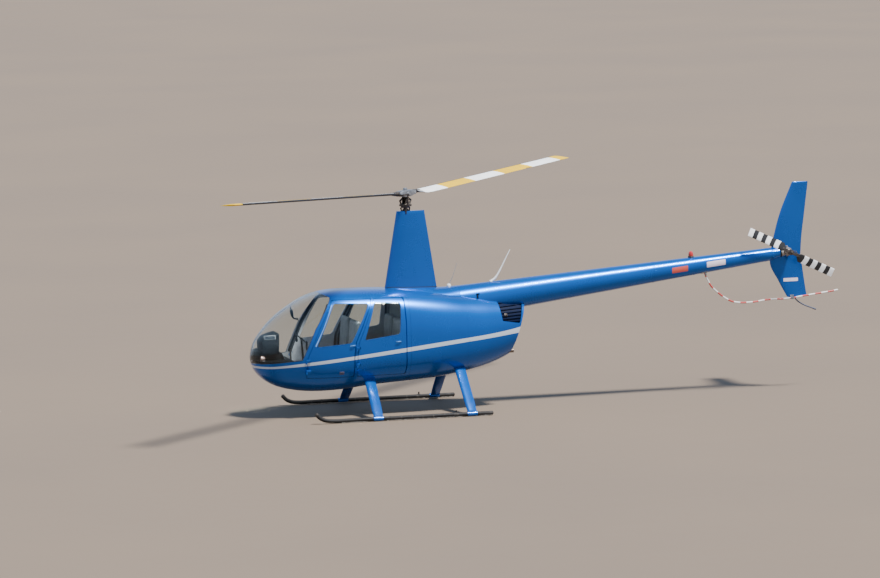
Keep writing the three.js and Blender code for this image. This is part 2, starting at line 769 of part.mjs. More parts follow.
add("tail_gearbox", tailCase(), GREY);

// Fins, in one plane just to starboard of the tail gearbox
const FIN_Y = TAIL_CASE.y1 + FIT + 22;
const fin = (rows) =>
  ringLoft(
    rows.map(([z, x0, x1, wide]) =>
      section(wide / (x1 - x0)).map(
        ([t, s]) => new THREE.Vector3(x0 + t * (x1 - x0), FIN_Y + s * (x1 - x0), z),
      ),
    ),
  );
// z, leading edge x, trailing edge x, thickness
const FIN_SPLIT_Z = 2032;
const UPPER_FIN = [
  [FIN_SPLIT_Z, 5646, 6130, 44],
  [2266, 5697, 6146, 42],
  [2624, 5796, 6192, 36],
  [3128, 6007, 6258, 26],
];
const LOWER_FIN = [
  [1388, 5918, 6226, 24],
  [1628, 5786, 6188, 32],
  [1937, 5646, 6144, 42],
  [FIN_SPLIT_Z - FIT, 5646, 6130, 44],
];
const caseRoom = tailCase(0.8);
add("upper_fin", fin(UPPER_FIN).subtract(caseRoom), BLUE);
add("lower_fin", fin(LOWER_FIN).subtract(caseRoom), BLUE);

// Stabilizer: starboard side only, carried by the lower fin's root
const STABILIZER = { z: 1985, x0: 5700, chord: 330, y0: FIN_Y + 12, y1: FIN_Y + 850, wide: 40 };
add(
  "stabilizer",
  ringLoft(
    [
      [STABILIZER.y0, 1],
      [STABILIZER.y1 - 30, 0.96],
      [STABILIZER.y1, 0.86],
    ].map(([y, k]) =>
      section((k * STABILIZER.wide) / (k * STABILIZER.chord)).map(
        ([t, s]) =>
          new THREE.Vector3(
            STABILIZER.x0 + ((1 - k) / 2 + t * k) * STABILIZER.chord,
            y,
            STABILIZER.z + s * k * STABILIZER.chord,
          ),
      ),
    ),
  ).subtract(fin(LOWER_FIN.map(([z, a, b, w]) => [z, a, b, w + 2 * FIT]))),
  BLUE,
);

// Tail rotor guard: one bent tube from the boom's underside to the lower fin and beyond
const GUARD_R = 13;
const GUARD_Y = FIN_Y - 16 - GUARD_R;
const GUARD = [
  [4576, -50, 1836],
  [4590, -50, 1800],
  [4634, -50, 1706],
  [4684, -48, 1620],
  [4768, -44, 1538],
  [4870, -38, 1455],
  [5010, -32, 1376],
  [5110, -28, 1354],
  [5215, -21, 1346],
  [5400, 3, 1350],
  [5583, GUARD_Y, 1368],
  [5948, GUARD_Y, 1374],
  [6170, GUARD_Y, 1401],
  [6633, GUARD_Y, 1456],
  [6712, GUARD_Y, 1468],
];
const guardTube = pipe(GUARD, GUARD_R, 32, 8);
const lowerFinRoom = fin(LOWER_FIN.map(([z, a, b, w]) => [z, a - 1, b + 1, w + 1]));
const guardClamp = box(5965, 6010, GUARD_Y - 4, FIN_Y, 1372, 1424);
add(
  "tail_guard",
  union(guardTube, guardClamp).subtract(lowerFinRoom).subtract(boomCone(4000, 5000, FIT + 0.2)),
  WHITE,
);
add(
  "tail_skid",
  pipe(
    [
      [6044, FIN_Y, 1396],
      [6050, FIN_Y, 1356],
      [6147, FIN_Y, 1278],
      [6369, FIN_Y, 1184],
    ],
    9,
    10,
    8,
  ).intersect(box(5900, 6500, -FAR, FAR, 0, LOWER_FIN[0][0] - FIT)),
  TRIM,
);

// Tail rotor, one body about an axis along Y
const tailRotor = new THREE.Group();
tailRotor.position.set(TAIL_ROTOR.x, TAIL_ROTOR.y, TAIL_ROTOR.z);
tailRotor.rotation.y = TAIL_BLADE_TILT;
craft.add(tailRotor);
const TAIL_PITCH = THREE.MathUtils.degToRad(8);
function tailBlade(sign) {
  const at = (r, chord, wide) =>
    section(wide / chord, 5).map(([t, s]) => {
      const c = (0.3 - t) * chord * sign;
      const y = s * chord;
      return new THREE.Vector3(
        sign * r,
        y * Math.cos(TAIL_PITCH) - c * sign * Math.sin(TAIL_PITCH),
        c * Math.cos(TAIL_PITCH) + y * sign * Math.sin(TAIL_PITCH),
      );
    });
  return ringLoft([
    at(105, 60, 22),
    at(150, TAIL_ROTOR.chord, 16),
    at(TAIL_ROTOR.radius, TAIL_ROTOR.chord, 13),
  ]);
}
const TAIL_SHAFT_END = TAIL_CASE.y0 - 30 - FIT - TAIL_ROTOR.y;
add(
  "tail_rotor",
  union(
    rod([0, -34, 0], [0, TAIL_SHAFT_END, 0], 19),
    rod([0, -26, 0], [0, 26, 0], 42),
    box(-128, 128, -15, 15, -24, 24),
    tailBlade(1),
    tailBlade(-1),
  ),
  BLACK,
  tailRotor,
);

// Main rotor, one body about the mast axis
const mainRotor = new THREE.Group();
mainRotor.rotation.z = ROTOR_AZIMUTH;
craft.add(mainRotor);
const SWASH = { z: 3010, r: 92, thick: 26 };
const BLADE_Z = TEETER_HEIGHT + 14;
const HORN = { r0: 92, r1: 276, y: 101, half: 11 };
const LINK = { from: [48, 64], to: [HORN.r0 + 10, HORN.y], r: 8 };
add(
  "rotor_mast",
  union(
    rod([0, 0, 2955 + FIT], [0, 0, TEETER_HEIGHT - 30], 24),
    rod([0, 0, 2955 + FIT], [0, 0, 2972], 44),
    rod([0, 0, SWASH.z], [0, 0, SWASH.z + SWASH.thick], SWASH.r, SWASH.r, 20),
    rod([0, 0, SWASH.z - 26], [0, 0, SWASH.z + 4], 60, 74, 20),
    ...[-1, 1].map((s) =>
      rod(
        [s * LINK.from[0], s * LINK.from[1], SWASH.z + 8],
        [s * LINK.to[0], s * LINK.to[1], BLADE_Z - HORN.half - 4],
        LINK.r,
        LINK.r,
        8,
      ),
    ),
  ),
  STEEL,
  mainRotor,
);
const HUB = { half: 235, wide: 58, z0: TEETER_HEIGHT - 30 + FIT, z1: TEETER_HEIGHT + 62 };
const hubBar = (more = 0) =>
  crossPrism(
    [
      [-HUB.half - more, HUB.z0 + 32],
      [-HUB.half - more, HUB.z1 - 16],
      [-150, HUB.z1],
      [150, HUB.z1],
      [HUB.half + more, HUB.z1 - 16],
      [HUB.half + more, HUB.z0 + 32],
      [90, HUB.z0],
      [-90, HUB.z0],
    ],
    -HUB.wide,
    HUB.wide,
  );
add(
  "rotor_hub",
  union(
    hubBar(),
    rod([0, -84, TEETER_HEIGHT + 8], [0, 84, TEETER_HEIGHT + 8], 20),
    rod([0, 0, HUB.z1 - 4], [0, 0, 3280], 30, 24),
  ),
  GREY,
  mainRotor,
);
const ROOT = { r0: HUB.half - 4, r1: 400 };
for (const [name, turn] of [
  ["a", 0],
  ["b", Math.PI],
]) {
  const arm = new THREE.Group();
  arm.rotation.z = turn;
  mainRotor.add(arm);
  const rise = BLADE_RISE[name];
  const turned = (r, t, s, chord, pitch) => {
    const c = (0.25 - t) * chord;
    const h = s * chord;
    return new THREE.Vector3(
      r * Math.cos(rise),
      c * Math.cos(pitch) - h * Math.sin(pitch),
      BLADE_Z + r * Math.sin(rise) + c * Math.sin(pitch) + h * Math.cos(pitch),
    );
  };
  const ring = (r, chord, wide, pitch) =>
    section(wide / chord, 7).map(([t, s]) => turned(r, t, s, chord, pitch));
  const grip = rod(
    [ROOT.r0, 0, BLADE_Z + ROOT.r0 * Math.sin(rise)],
    [ROOT.r1 + 20, 0, BLADE_Z + (ROOT.r1 + 20) * Math.sin(rise)],
    34,
    22,
  );
  const horn = union(
    box(HORN.r1 - 32, HORN.r1, 10, HORN.y + 9, BLADE_Z - HORN.half, BLADE_Z + HORN.half),
    box(HORN.r0, HORN.r1, HORN.y - 9, HORN.y + 9, BLADE_Z - HORN.half, BLADE_Z + HORN.half),
  );
  const blade = ringLoft([
    ring(330, 90, 40, BLADE_PITCH),
    ring(ROOT.r1, BLADE_CHORD * 0.92, 34, BLADE_PITCH),
    ring(520, BLADE_CHORD, 31, BLADE_PITCH),
    ring(2700, BLADE_CHORD, 31, BLADE_PITCH * 0.85),
    ring(ROTOR_RADIUS - 60, BLADE_CHORD, 29, BLADE_PITCH * 0.7),
    ring(ROTOR_RADIUS, BLADE_CHORD * 0.94, 20, BLADE_PITCH * 0.7),
  ]);
  add(`main_blade_${name}`, union(grip, horn, blade).subtract(hubBar(FIT + 0.2)), BLACK, arm);
}

// Skids: a tube with an upturned toe, and wear shoes under it
const SKID_Z = SHOE + SKID_RADIUS * Math.cos(Math.PI / 16);
const SHOES = [
  [-1290, -900],
  [-620, 520],
  [760, 960],
];
const skidLine = (side) => [
  [-1664, side * SKID_Y, 150],
  [-1610, side * SKID_Y, 92],
  [-1530, side * SKID_Y, 52],
  [-1400, side * SKID_Y, SKID_Z],
  [-1200, side * SKID_Y, SKID_Z],
];
const LEGS = {
  front: { foot: -739, top: -712, y: 430, z: 560 },
  rear: { foot: 671, top: 664, y: 400, z: 640 },
};
const LEG_CHORD = 150;
const LEG_THICK = 52;
for (const [name, side] of Object.entries(SIDES)) {
  const toe = pipe(skidLine(side), SKID_RADIUS, 9, 12);
  const straight = rod([-1201, side * SKID_Y, SKID_Z], [979, side * SKID_Y, SKID_Z], SKID_RADIUS, SKID_RADIUS, 12);
  const shoes = SHOES.map(([x0, x1]) =>
    box(x0, x1, side * SKID_Y - 25, side * SKID_Y + 25, 0, SKID_Z - SKID_RADIUS * 0.8),
  );
  const peg = rod([432, side * SKID_Y, SKID_Z + 20], [432, side * SKID_Y, 104], 11, 11, 10);
  add(`skid_${name}`, union(toe, straight, peg, ...shoes), BLACK);

  // Streamlined legs, each clamped on the skid and run up into the belly
  for (const [row, leg] of Object.entries(LEGS)) {
    const at = (k, chord, wide) => {
      const x = leg.foot + (leg.top - leg.foot) * k;
      const y = side * (SKID_Y + (leg.y - SKID_Y) * k);
      const z = SKID_Z + (leg.z - SKID_Z) * k;
      return section(wide / chord).map(
        ([t, s]) => new THREE.Vector3(x + (t - 0.45) * chord, y + s * chord, z),
      );
    };
    const fairing = ringLoft([
      at(0.05, LEG_CHORD * 0.9, LEG_THICK),
      at(0.2, LEG_CHORD, LEG_THICK),
      at(0.8, LEG_CHORD * 1.06, LEG_THICK),
      at(1, LEG_CHORD * 1.1, LEG_THICK),
    ]);
    const clamp = rod(
      [leg.foot - 75, side * SKID_Y, SKID_Z],
      [leg.foot + 75, side * SKID_Y, SKID_Z],
      SKID_RADIUS + 7,
    );
    const clear = union(
      rod([-1300, side * SKID_Y, SKID_Z], [1000, side * SKID_Y, SKID_Z], SKID_RADIUS + FIT),
      box(-1300, 1000, side * SKID_Y - 26, side * SKID_Y + 26, -5, SKID_Z - 0.5),
    );
    add(`${row}_leg_${name}`, union(fairing, clamp).subtract(clear).subtract(roofSkin), BLUE);
  }
}

// Lamps and antennas
const BEACON = { x: 4385, r: 37, tall: 92 };
const beaconZ = boomZ(BEACON.x) + boomR(BEACON.x);
add(
  "beacon",
  union(
    rod([BEACON.x, 0, beaconZ - 12], [BEACON.x, 0, beaconZ + 22], BEACON.r + 5),
    rod([BEACON.x, 0, beaconZ + 18], [BEACON.x, 0, beaconZ + BEACON.tall], BEACON.r, BEACON.r * 0.8),
  ).subtract(boomCone(4000, 5000, FIT + 0.2)),
  RED,
);
const whipZ = boomZ(1281) + boomR(1281);
add(
  "aft_antenna",
  union(
    rod([1281, 0, whipZ - 14], [1281, 0, whipZ + 14], 26),
    rod([1281, 0, whipZ + 4], [1350, 0, 1892], 15, 11, 10),
    rod([1347, 0, 1886], [1581, 0, 2298], 11, 5, 10),
  ).subtract(boomCone(1000, 2000, FIT + 0.2)),
  WHITE,
);
add(
  "forward_antenna",
  union(
    rod([638, 0, 1700], [638, 0, 1836], 30, 24),
    rod([640, 0, 1830], [690, 0, 1922], 5, 4, 8),
    rod([689, 0, 1918], [767, 0, 2140], 4, 3, 8),
  )
    .subtract(humpSolid)
    .subtract(roofSkin),
  WHITE,
);
const LAMP = { x0: -2262, x1: -2200, y: -180, r: 34 };
const lampZ = SHELF.z1 + FIT + LAMP.r;
add(
  "landing_light",
  rod([LAMP.x0, LAMP.y, lampZ], [LAMP.x1, LAMP.y, lampZ], LAMP.r, LAMP.r * 0.8, 16),
  WHITE,
);

craft.position.x = -ORIGIN_X;
const root = new THREE.Group();
root.name = "helicopter";
root.add(craft);
export default root;
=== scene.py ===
from math import cos, dist, pi, radians, sin

import bpy
import numpy as np
from mathutils import Matrix, Vector


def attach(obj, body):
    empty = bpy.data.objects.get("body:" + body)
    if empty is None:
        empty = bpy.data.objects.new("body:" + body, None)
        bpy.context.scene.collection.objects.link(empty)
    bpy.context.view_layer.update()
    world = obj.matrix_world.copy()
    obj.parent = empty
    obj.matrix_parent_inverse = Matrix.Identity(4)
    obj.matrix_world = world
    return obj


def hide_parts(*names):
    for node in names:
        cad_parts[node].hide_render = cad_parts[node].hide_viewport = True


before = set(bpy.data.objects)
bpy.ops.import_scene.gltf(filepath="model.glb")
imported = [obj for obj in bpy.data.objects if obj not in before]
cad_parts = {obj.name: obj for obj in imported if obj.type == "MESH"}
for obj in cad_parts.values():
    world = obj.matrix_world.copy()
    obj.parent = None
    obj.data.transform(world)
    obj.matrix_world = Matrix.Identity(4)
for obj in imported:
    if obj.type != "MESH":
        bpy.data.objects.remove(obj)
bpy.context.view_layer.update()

# Metres. Everything is modelled with x = 0 on the main rotor axis, x pointing aft, y to
# starboard and z up, and moved by this much when it is handed over to its body.
AXIS_X = -1.584
ROTOR_TURN = radians(47.2)
BLADE_RISE = {"a": radians(1.6), "b": radians(3.2)}
WALL = 0.022
GLASS = 0.005
SEAM = 0.006
# The gap between pieces that meet, and a length that passes every piece of the cabin
FIT = 0.0003
FAR = 3.0
SIDES = {"port": -1, "starboard": 1}
AFT = (1, 0, 0)
ACROSS = (0, 1, 0)
UP = (0, 0, 1)


def latest(name):
    """The object that the last call made, named."""
    obj = bpy.context.object
    obj.name = name
    return obj


# Camera
AZIMUTH = radians(-14.71)
ELEVATION = radians(6.31)
ROLL = radians(-1.01)
EYE = Vector((-17.0963 + AXIS_X, -67.0366, 9.4249))
FILM_WIDTH = 36
LENS = 193.55
VIEW_REACH = (1, 3000)


def direction(azimuth, elevation):
    """The way out from the craft. The azimuth is counted from port towards the tail."""
    flat = cos(elevation)
    return Vector((sin(azimuth) * flat, -cos(azimuth) * flat, sin(elevation)))


back = direction(AZIMUTH, ELEVATION)
level = Vector((cos(AZIMUTH), sin(AZIMUTH), 0))
rise = back.cross(level)
right = cos(ROLL) * level + sin(ROLL) * rise
up = cos(ROLL) * rise - sin(ROLL) * level
bpy.ops.object.camera_add()
camera = latest("photo_camera")
camera.matrix_world = Matrix.Translation(EYE) @ Matrix((right, up, back)).transposed().to_4x4()
camera.data.sensor_width = FILM_WIDTH
camera.data.lens = LENS
camera.data.clip_start, camera.data.clip_end = VIEW_REACH
bpy.context.scene.camera = camera


# Tools of the bench
def only(*objs):
    bpy.ops.object.select_all(action="DESELECT")
    for obj in objs:
        obj.select_set(True)
    bpy.context.view_layer.objects.active = objs[-1]


def edit(obj, *steps):
    """Runs edit steps on all of obj."""
    only(obj)
    bpy.ops.object.mode_set(mode="EDIT")
    bpy.ops.mesh.select_mode(type="FACE")
    bpy.ops.mesh.select_all(action="SELECT")
    for step in steps:
        step()
    bpy.ops.object.mode_set(mode="OBJECT")
    return obj


def vectors(items, key):
    """One vector of each of a mesh's items, as rows."""
    found = np.empty(len(items) * 3)
    items.foreach_get(key, found)
    return found.reshape(-1, 3)


def points_of(obj):
    return vectors(obj.data.vertices, "co")


def set_points(obj, points):
    obj.data.vertices.foreach_set("co", np.asarray(points, float).ravel())
    obj.data.update()


def modify(obj, kind, **settings):
    only(obj)
    step = obj.modifiers.new("step", kind)
    for key, value in settings.items():
        setattr(step, key, value)
    bpy.ops.object.modifier_apply(modifier=step.name)
    return obj


def remove(*objs):
    for obj in objs:
        bpy.data.objects.remove(obj)


def carve(obj, tool, how="DIFFERENCE", keep=False):
    modify(obj, "BOOLEAN", object=tool, operation=how, solver="MANIFOLD")
    if not keep:
        remove(tool)
    return obj


def keep_within(obj, tool, keep=False):
    return carve(obj, tool, "INTERSECT", keep)


def cut_by(obj, *tools):
    """Cuts obj by tools that are used again."""
    for tool in tools:
        carve(obj, tool, keep=True)
    return obj


def twin(obj, name):
    """A copy with its own mesh."""
    copy = obj.copy()
    copy.data = obj.data.copy()
    copy.name = name
    bpy.context.collection.objects.link(copy)
    return copy


def move(obj, matrix):
    obj.data.transform(matrix)
    if matrix.determinant() < 0:
        obj.data.flip_normals()
    obj.data.update()
    return obj


def mirrored(obj, name):
    """A copy on the other side of the craft."""
    return move(twin(obj, name), Matrix.Diagonal((1, -1, 1, 1)))


def join(name, *objs):
    only(*objs)
    bpy.ops.object.join()
    return latest(name)


BEVEL_ANGLE = radians(50)


def bevel(obj, width, segments=2):
    return modify(
        obj, "BEVEL", width=width, segments=segments, limit_method="ANGLE", angle_limit=BEVEL_ANGLE
    )


def broken_edges(radius, long, cut, fall):
    """A lathe profile of a bar whose two edges are broken."""
    return [(0, radius - fall), (cut, radius), (long - cut, radius), (long, radius - fall)]


def loft(name, rings, capped=True):
    """A skin over rings of points, from a grid that is wrapped round and closed."""
    rings = np.asarray(rings, float)
    count, around = rings.shape[:2]
    bpy.ops.mesh.primitive_grid_add(x_subdivisions=around, y_subdivisions=count - 1)
    obj = latest(name)
    wrapped = np.concatenate([rings, rings[:, :1]], axis=1)
    set_points(obj, wrapped.reshape(-1, 3))
    steps = [lambda: bpy.ops.mesh.remove_doubles(threshold=1e-6)]
    if capped:
        steps.append(lambda: bpy.ops.mesh.fill_holes(sides=0))
    steps.append(lambda: bpy.ops.mesh.normals_make_consistent(inside=False))
    return edit(obj, *steps)


def block(name, x0, x1, y0, y1, z0, z1, edge=0.0, segments=2):
    """A cube stretched to a box, with its edges broken. The ends of x and y may come in any order."""
    bpy.ops.mesh.primitive_cube_add(size=1)
    obj = latest(name)
    size = Matrix.Diagonal((abs(x1 - x0), abs(y1 - y0), z1 - z0, 1))
    move(obj, Matrix.Translation(((x0 + x1) / 2, (y0 + y1) / 2, (z0 + z1) / 2)) @ size)
    return bevel(obj, edge, segments) if edge else obj


def rod(name, start, end, r0, r1=None, sides=32, edge=0.0):
    """A turned bar between two points."""
    start = Vector(start)
    end = Vector(end)
    bpy.ops.mesh.primitive_cone_add(
        vertices=sides, radius1=r0, radius2=r0 if r1 is None else r1, depth=(end - start).length
    )
    obj = latest(name)
    turn = (end - start).to_track_quat("Z", "Y").to_matrix().to_4x4()
    move(obj, Matrix.Translation((start + end) / 2) @ turn)
    return bevel(obj, edge) if edge else obj


def turns(count):
    """Angles spread evenly round a circle."""
    return np.linspace(0, 2 * pi, count, endpoint=False)


def lathe(name, start, axis, profile, sides=48):
    """A turned part: profile rows are distance along the axis and radius."""
    turn = Vector(axis).normalized().to_track_quat("Z", "Y").to_matrix()
    angle = turns(sides)
    rings = []
    for along, radius in profile:
        flat = np.stack([np.cos(angle) * radius, np.sin(angle) * radius, angle * 0 + along], 1)
        rings.append(flat @ np.array(turn).T + np.array(start))
    return loft(name, rings)


def between(a, b, start, end, t):
    return (a * (end - t) + b * (t - start)) / (end - start)


def smooth_path(points, steps):
    """Points along a smooth curve through the given ones."""
    rows = np.array(points, float)
    rows = np.vstack([2 * rows[0] - rows[1], rows, 2 * rows[-1] - rows[-2]])
    knots = np.concatenate([[0], np.cumsum(np.sqrt(np.linalg.norm(np.diff(rows, axis=0), axis=1)))])
    found = []
    for k in range(1, len(rows) - 2):
        p, at = rows[k - 1:k + 3], knots[k - 1:k + 3]
        for t in np.linspace(at[1], at[2], steps, endpoint=False):
            a = [between(p[i], p[i + 1], at[i], at[i + 1], t) for i in range(3)]
            b = [between(a[i], a[i + 1], at[i], at[i + 2], t) for i in range(2)]
            found.append(between(*b, at[1], at[2], t))
    found.append(rows[-2])
    return np.array(found)


def lengths_along(path):
    return np.concatenate([[0], np.cumsum(np.linalg.norm(np.diff(path, axis=0), axis=1))])


# How far a tube's round end reaches past it and how wide it ends, in shares of its radius
DOME = (0.4, 0.55)


def tube(name, path, radius, sides=16):
    """A round tube along a path, with its length kept on it as the attribute along."""
    path = np.asarray(path, float)
    lead = np.gradient(path, axis=0)
    lead /= np.linalg.norm(lead, axis=1)[:, None]
    radii = np.full(len(path), radius, float) if np.isscalar(radius) else np.asarray(radius)
    reach, share = DOME
    first = path[0] - lead[0] * radii[0] * reach
    last = path[-1] + lead[-1] * radii[-1] * reach
    path = np.vstack([first, path, last])
    lead = np.vstack([lead[:1], lead, lead[-1:]])
    radii = np.concatenate([[radii[0] * share], radii, [radii[-1] * share]])
    side = np.cross(lead[0], UP if abs(lead[0][2]) < 0.9 else AFT)
    angle = turns(sides)
    rings = []
    for centre, ahead, radius_here in zip(path, lead, radii):
        side = side - ahead * (side @ ahead)
        side /= np.linalg.norm(side)
        other = np.cross(ahead, side)
        rings.append(
            centre + radius_here * (np.cos(angle)[:, None] * side + np.sin(angle)[:, None] * other)
        )
    obj = loft(name, rings)
    walked = np.repeat(lengths_along(path), sides)
    place = obj.data.attributes.new("along", "FLOAT", "POINT")
    values = np.resize(walked, len(obj.data.vertices))
    place.data.foreach_set("value", values.astype(np.float32))
    return obj


# The most of a side that a round corner may take
CORNER_SHARE = 1 / 2.2


def rounded(outline, radius, steps=8):
    """The same outline with its corners rounded; further columns are carried along."""
    rows = np.array(outline, float)
    found = []
    for i, here in enumerate(rows):
        ends = []
        for other in (rows[i - 1], rows[(i + 1) % len(rows)]):
            gap = dist(here[:2], other[:2])
            ends.append(here + (other - here) * min(radius / gap, CORNER_SHARE))
        for t in np.linspace(0, 1, steps + 1):
            found.append(ends[0] * (1 - t) ** 2 + 2 * here * t * (1 - t) + ends[1] * t ** 2)
    return np.array(found)


def grown(outline, by):
    """The outline moved outward by a distance along its own normals."""
    rows = np.array(outline, float)
    flat = rows[:, :2]
    ahead = np.roll(flat, -1, 0) - np.roll(flat, 1, 0)
    normal = np.stack([ahead[:, 1], -ahead[:, 0]], 1)
    normal /= np.linalg.norm(normal, axis=1)[:, None] + 1e-12
    area = np.sum(flat[:, 0] * np.roll(flat[:, 1], -1) - np.roll(flat[:, 0], -1) * flat[:, 1])
    rows[:, :2] = flat + normal * by * (1 if area > 0 else -1)
    return rows


def spread_along(outline, step, closed=True):
    """Evenly spaced points along an outline."""
    rows = np.array(outline, float)
    if closed:
        rows = np.vstack([rows, rows[:1]])
    walked = lengths_along(rows)
    keep = np.concatenate([[True], np.diff(walked) > 1e-9])
    count = max(4, int(round(walked[-1] / step)))
    at = np.linspace(0, walked[-1], count + 1)
    if closed:
        at = at[:-1]
    return np.stack([np.interp(at, walked[keep], rows[keep, k]) for k in range(rows.shape[1])], 1)


# The body's cross-sections from nose to tail: each is two half superellipses that meet at
# the widest height.
# x, bottom z, top z, widest z, half width, upper power, lower power
BODY = np.array([
    [-2.385, 0.872, 0.888, 0.88, 0.012, 2.0, 2.0],
    [-2.372, 0.81, 0.95, 0.88, 0.09, 2.0, 2.0],
    [-2.336, 0.708, 1.087, 0.884, 0.185, 2.05, 2.05],
    [-2.259, 0.606, 1.205, 0.89, 0.285, 2.1, 2.1],
    [-2.144, 0.513, 1.341, 0.898, 0.38, 2.2, 2.15],
    [-1.985, 0.437, 1.488, 0.908, 0.462, 2.35, 2.2],
    [-1.8, 0.39, 1.609, 0.92, 0.53, 2.5, 2.25],
    [-1.6, 0.36, 1.722, 0.936, 0.582, 2.7, 2.3],
    [-1.35, 0.35, 1.804, 0.952, 0.62, 2.85, 2.4],
    [-1.05, 0.36, 1.833, 0.966, 0.638, 2.95, 2.4],
    [-0.7, 0.4, 1.829, 0.98, 0.64, 3.0, 2.4],
    [-0.3, 0.426, 1.817, 1.0, 0.64, 3.0, 2.4],
    [0.1, 0.45, 1.777, 1.015, 0.63, 2.9, 2.4],
    [0.5, 0.485, 1.725, 1.035, 0.602, 2.7, 2.35],
    [0.8, 0.53, 1.683, 1.06, 0.558, 2.5, 2.3],
    [1.1, 0.592, 1.64, 1.09, 0.495, 2.4, 2.25],
    [1.4, 0.69, 1.595, 1.125, 0.415, 2.3, 2.2],
    [1.72, 0.874, 1.545, 1.17, 0.325, 2.3, 2.2],
    [1.8, 0.926, 1.53, 1.182, 0.298, 2.3, 2.2],
])
NOSE_X = -2.3852
FAIR_SPREAD = 0.035
FAIR_STEPS = 1600


def fair_curve(at, values, where):
    """A curve through the values that never overshoots, at the places where."""
    gap = np.diff(at)
    slope = np.diff(values) / gap
    lead = np.empty_like(values)
    lead[0] = slope[0]
    lead[-1] = slope[-1]
    both = slope[:-1] * slope[1:] > 0
    a = np.where(both, slope[:-1], 1)
    b = np.where(both, slope[1:], 1)
    total = 3 * (gap[:-1] + gap[1:])
    lead[1:-1] = np.where(both, total / ((2 * gap[1:] + gap[:-1]) / a + (gap[1:] + 2 * gap[:-1]) / b), 0)
    i = np.clip(np.searchsorted(at, where) - 1, 0, len(at) - 2)
    t = (where - at[i]) / gap[i]
    return (
        (2 * t ** 3 - 3 * t ** 2 + 1) * values[i]
        + (t ** 3 - 2 * t ** 2 + t) * gap[i] * lead[i]
        + (3 * t ** 2 - 2 * t ** 3) * values[i + 1]
        + (t ** 3 - t ** 2) * gap[i] * lead[i + 1]
    )


def fair_table():
    """The body table on a fine scale that runs as the root of the distance from the nose."""
    at = np.sqrt(BODY[:, 0] - NOSE_X)
    fine = np.linspace(at[0], at[-1], FAIR_STEPS)
    reach = int(3 * FAIR_SPREAD / (fine[1] - fine[0]))
    weight = np.exp(-0.5 * (np.arange(-reach, reach + 1) * (fine[1] - fine[0]) / FAIR_SPREAD) ** 2)
    columns = []
    for k in range(1, BODY.shape[1]):
        raw = fair_curve(at, BODY[:, k], fine)
        lead = 2 * raw[0] - raw[reach:0:-1]
        tail = 2 * raw[-1] - raw[-2:-reach - 2:-1]
        columns.append(np.convolve(np.concatenate([lead, raw, tail]), weight / weight.sum(), "valid"))
    return fine, np.array(columns)


FINE, FAIR = fair_table()


def stations(x):
    """Bottom, top, widest height, half width, upper power and lower power at each x."""
    root = np.sqrt(np.maximum(np.asarray(x, float) - NOSE_X, 0))
    return [np.interp(root, FINE, column) for column in FAIR]


def section_at(x, z):
    """Half width, power and the share of the way to the body's top or bottom."""
    bottom, top, widest, half, upper, lower = stations(x)
    reach = np.where(z > widest, top - widest, widest - bottom)
    return half, np.where(z > widest, upper, lower), np.abs(z - widest) / reach


def fullness(points):
    """1 on the body's skin, less inside and more outside."""
    x, y, z = np.asarray(points, float).T
    half, power, share = section_at(x, z)
    return (np.abs(y) / half) ** power + share ** power


def skin_normals(points):
    points = np.asarray(points, float)
    small = 1e-4
    found = np.empty_like(points)
    for k in range(3):
        shift = np.zeros(3)
        shift[k] = small
        found[:, k] = fullness(points + shift) - fullness(points - shift)
    return found / np.linalg.norm(found, axis=1)[:, None]


def skin_y(x, z):
    """Half the body's width at x and z."""
    half, power, share = section_at(x, np.asarray(z, float))
    return half * (1 - np.clip(share, 0, 1) ** power) ** (1 / power)


def on_skin(line, side):
    """Points on one side of the skin from points in side view."""
    line = np.asarray(line, float)
    return np.stack([line[:, 0], side * skin_y(line[:, 0], line[:, 1]), line[:, 1]], 1)


def body_rings(xs, around):
    """Cross-sections with evenly spread points, from the starboard flank over the roof."""
    quarter = around // 4
    fine = np.linspace(0, pi / 2, 400)
    rings = []
    for bottom, top, widest, half, upper, lower in zip(*stations(xs)):
        arcs = []
        for height, power in ((top - widest, upper), (bottom - widest, lower)):
            y = half * np.abs(np.cos(fine)) ** (2 / power)
            z = height * np.abs(np.sin(fine)) ** (2 / power)
            y[-1] = 0
            walked = lengths_along(np.stack([y, z], 1))
            at = np.linspace(0, walked[-1], quarter + 1)
            arcs.append((np.interp(at, walked, y), widest + np.interp(at, walked, z)))
        (yu, zu), (yl, zl) = arcs
        y = np.concatenate([yu, -yu[-2::-1], -yl[1:], yl[-2:0:-1]])
        z = np.concatenate([zu, zu[-2::-1], zl[1:], zl[-2:0:-1]])
        rings.append(np.stack([y, z], 1))
    rings = np.array(rings)
    places = np.broadcast_to(np.asarray(xs)[:, None, None], (*rings.shape[:2], 1))
    return np.concatenate([places, rings], 2)


def body_stations(count):
    """Stations that lie closer towards the nose."""
    first, last = np.sqrt(BODY[[0, -1], 0] - NOSE_X)
    return NOSE_X + np.linspace(first, last, count) ** 2


STATIONS = 170
AROUND = 144


def body_solid(name, depth=0.0, count=STATIONS, around=AROUND):
    """The whole body as one closed solid, moved inward by a depth."""
    rings = body_rings(body_stations(count), around)
    if depth:
        flat = rings.reshape(-1, 3)
        rings = (flat - skin_normals(flat) * depth).reshape(rings.shape)
    return loft(name, rings)


def prism(name, outline, y0=-0.9, y1=0.9):
    """A solid right across the craft from an outline in side view."""
    return loft(name, [[(x, y, z) for x, z in outline] for y in (y0, y1)])


# How far from the middle a cut through one side begins and ends
SIDE_CUT = (0.12, 0.76)


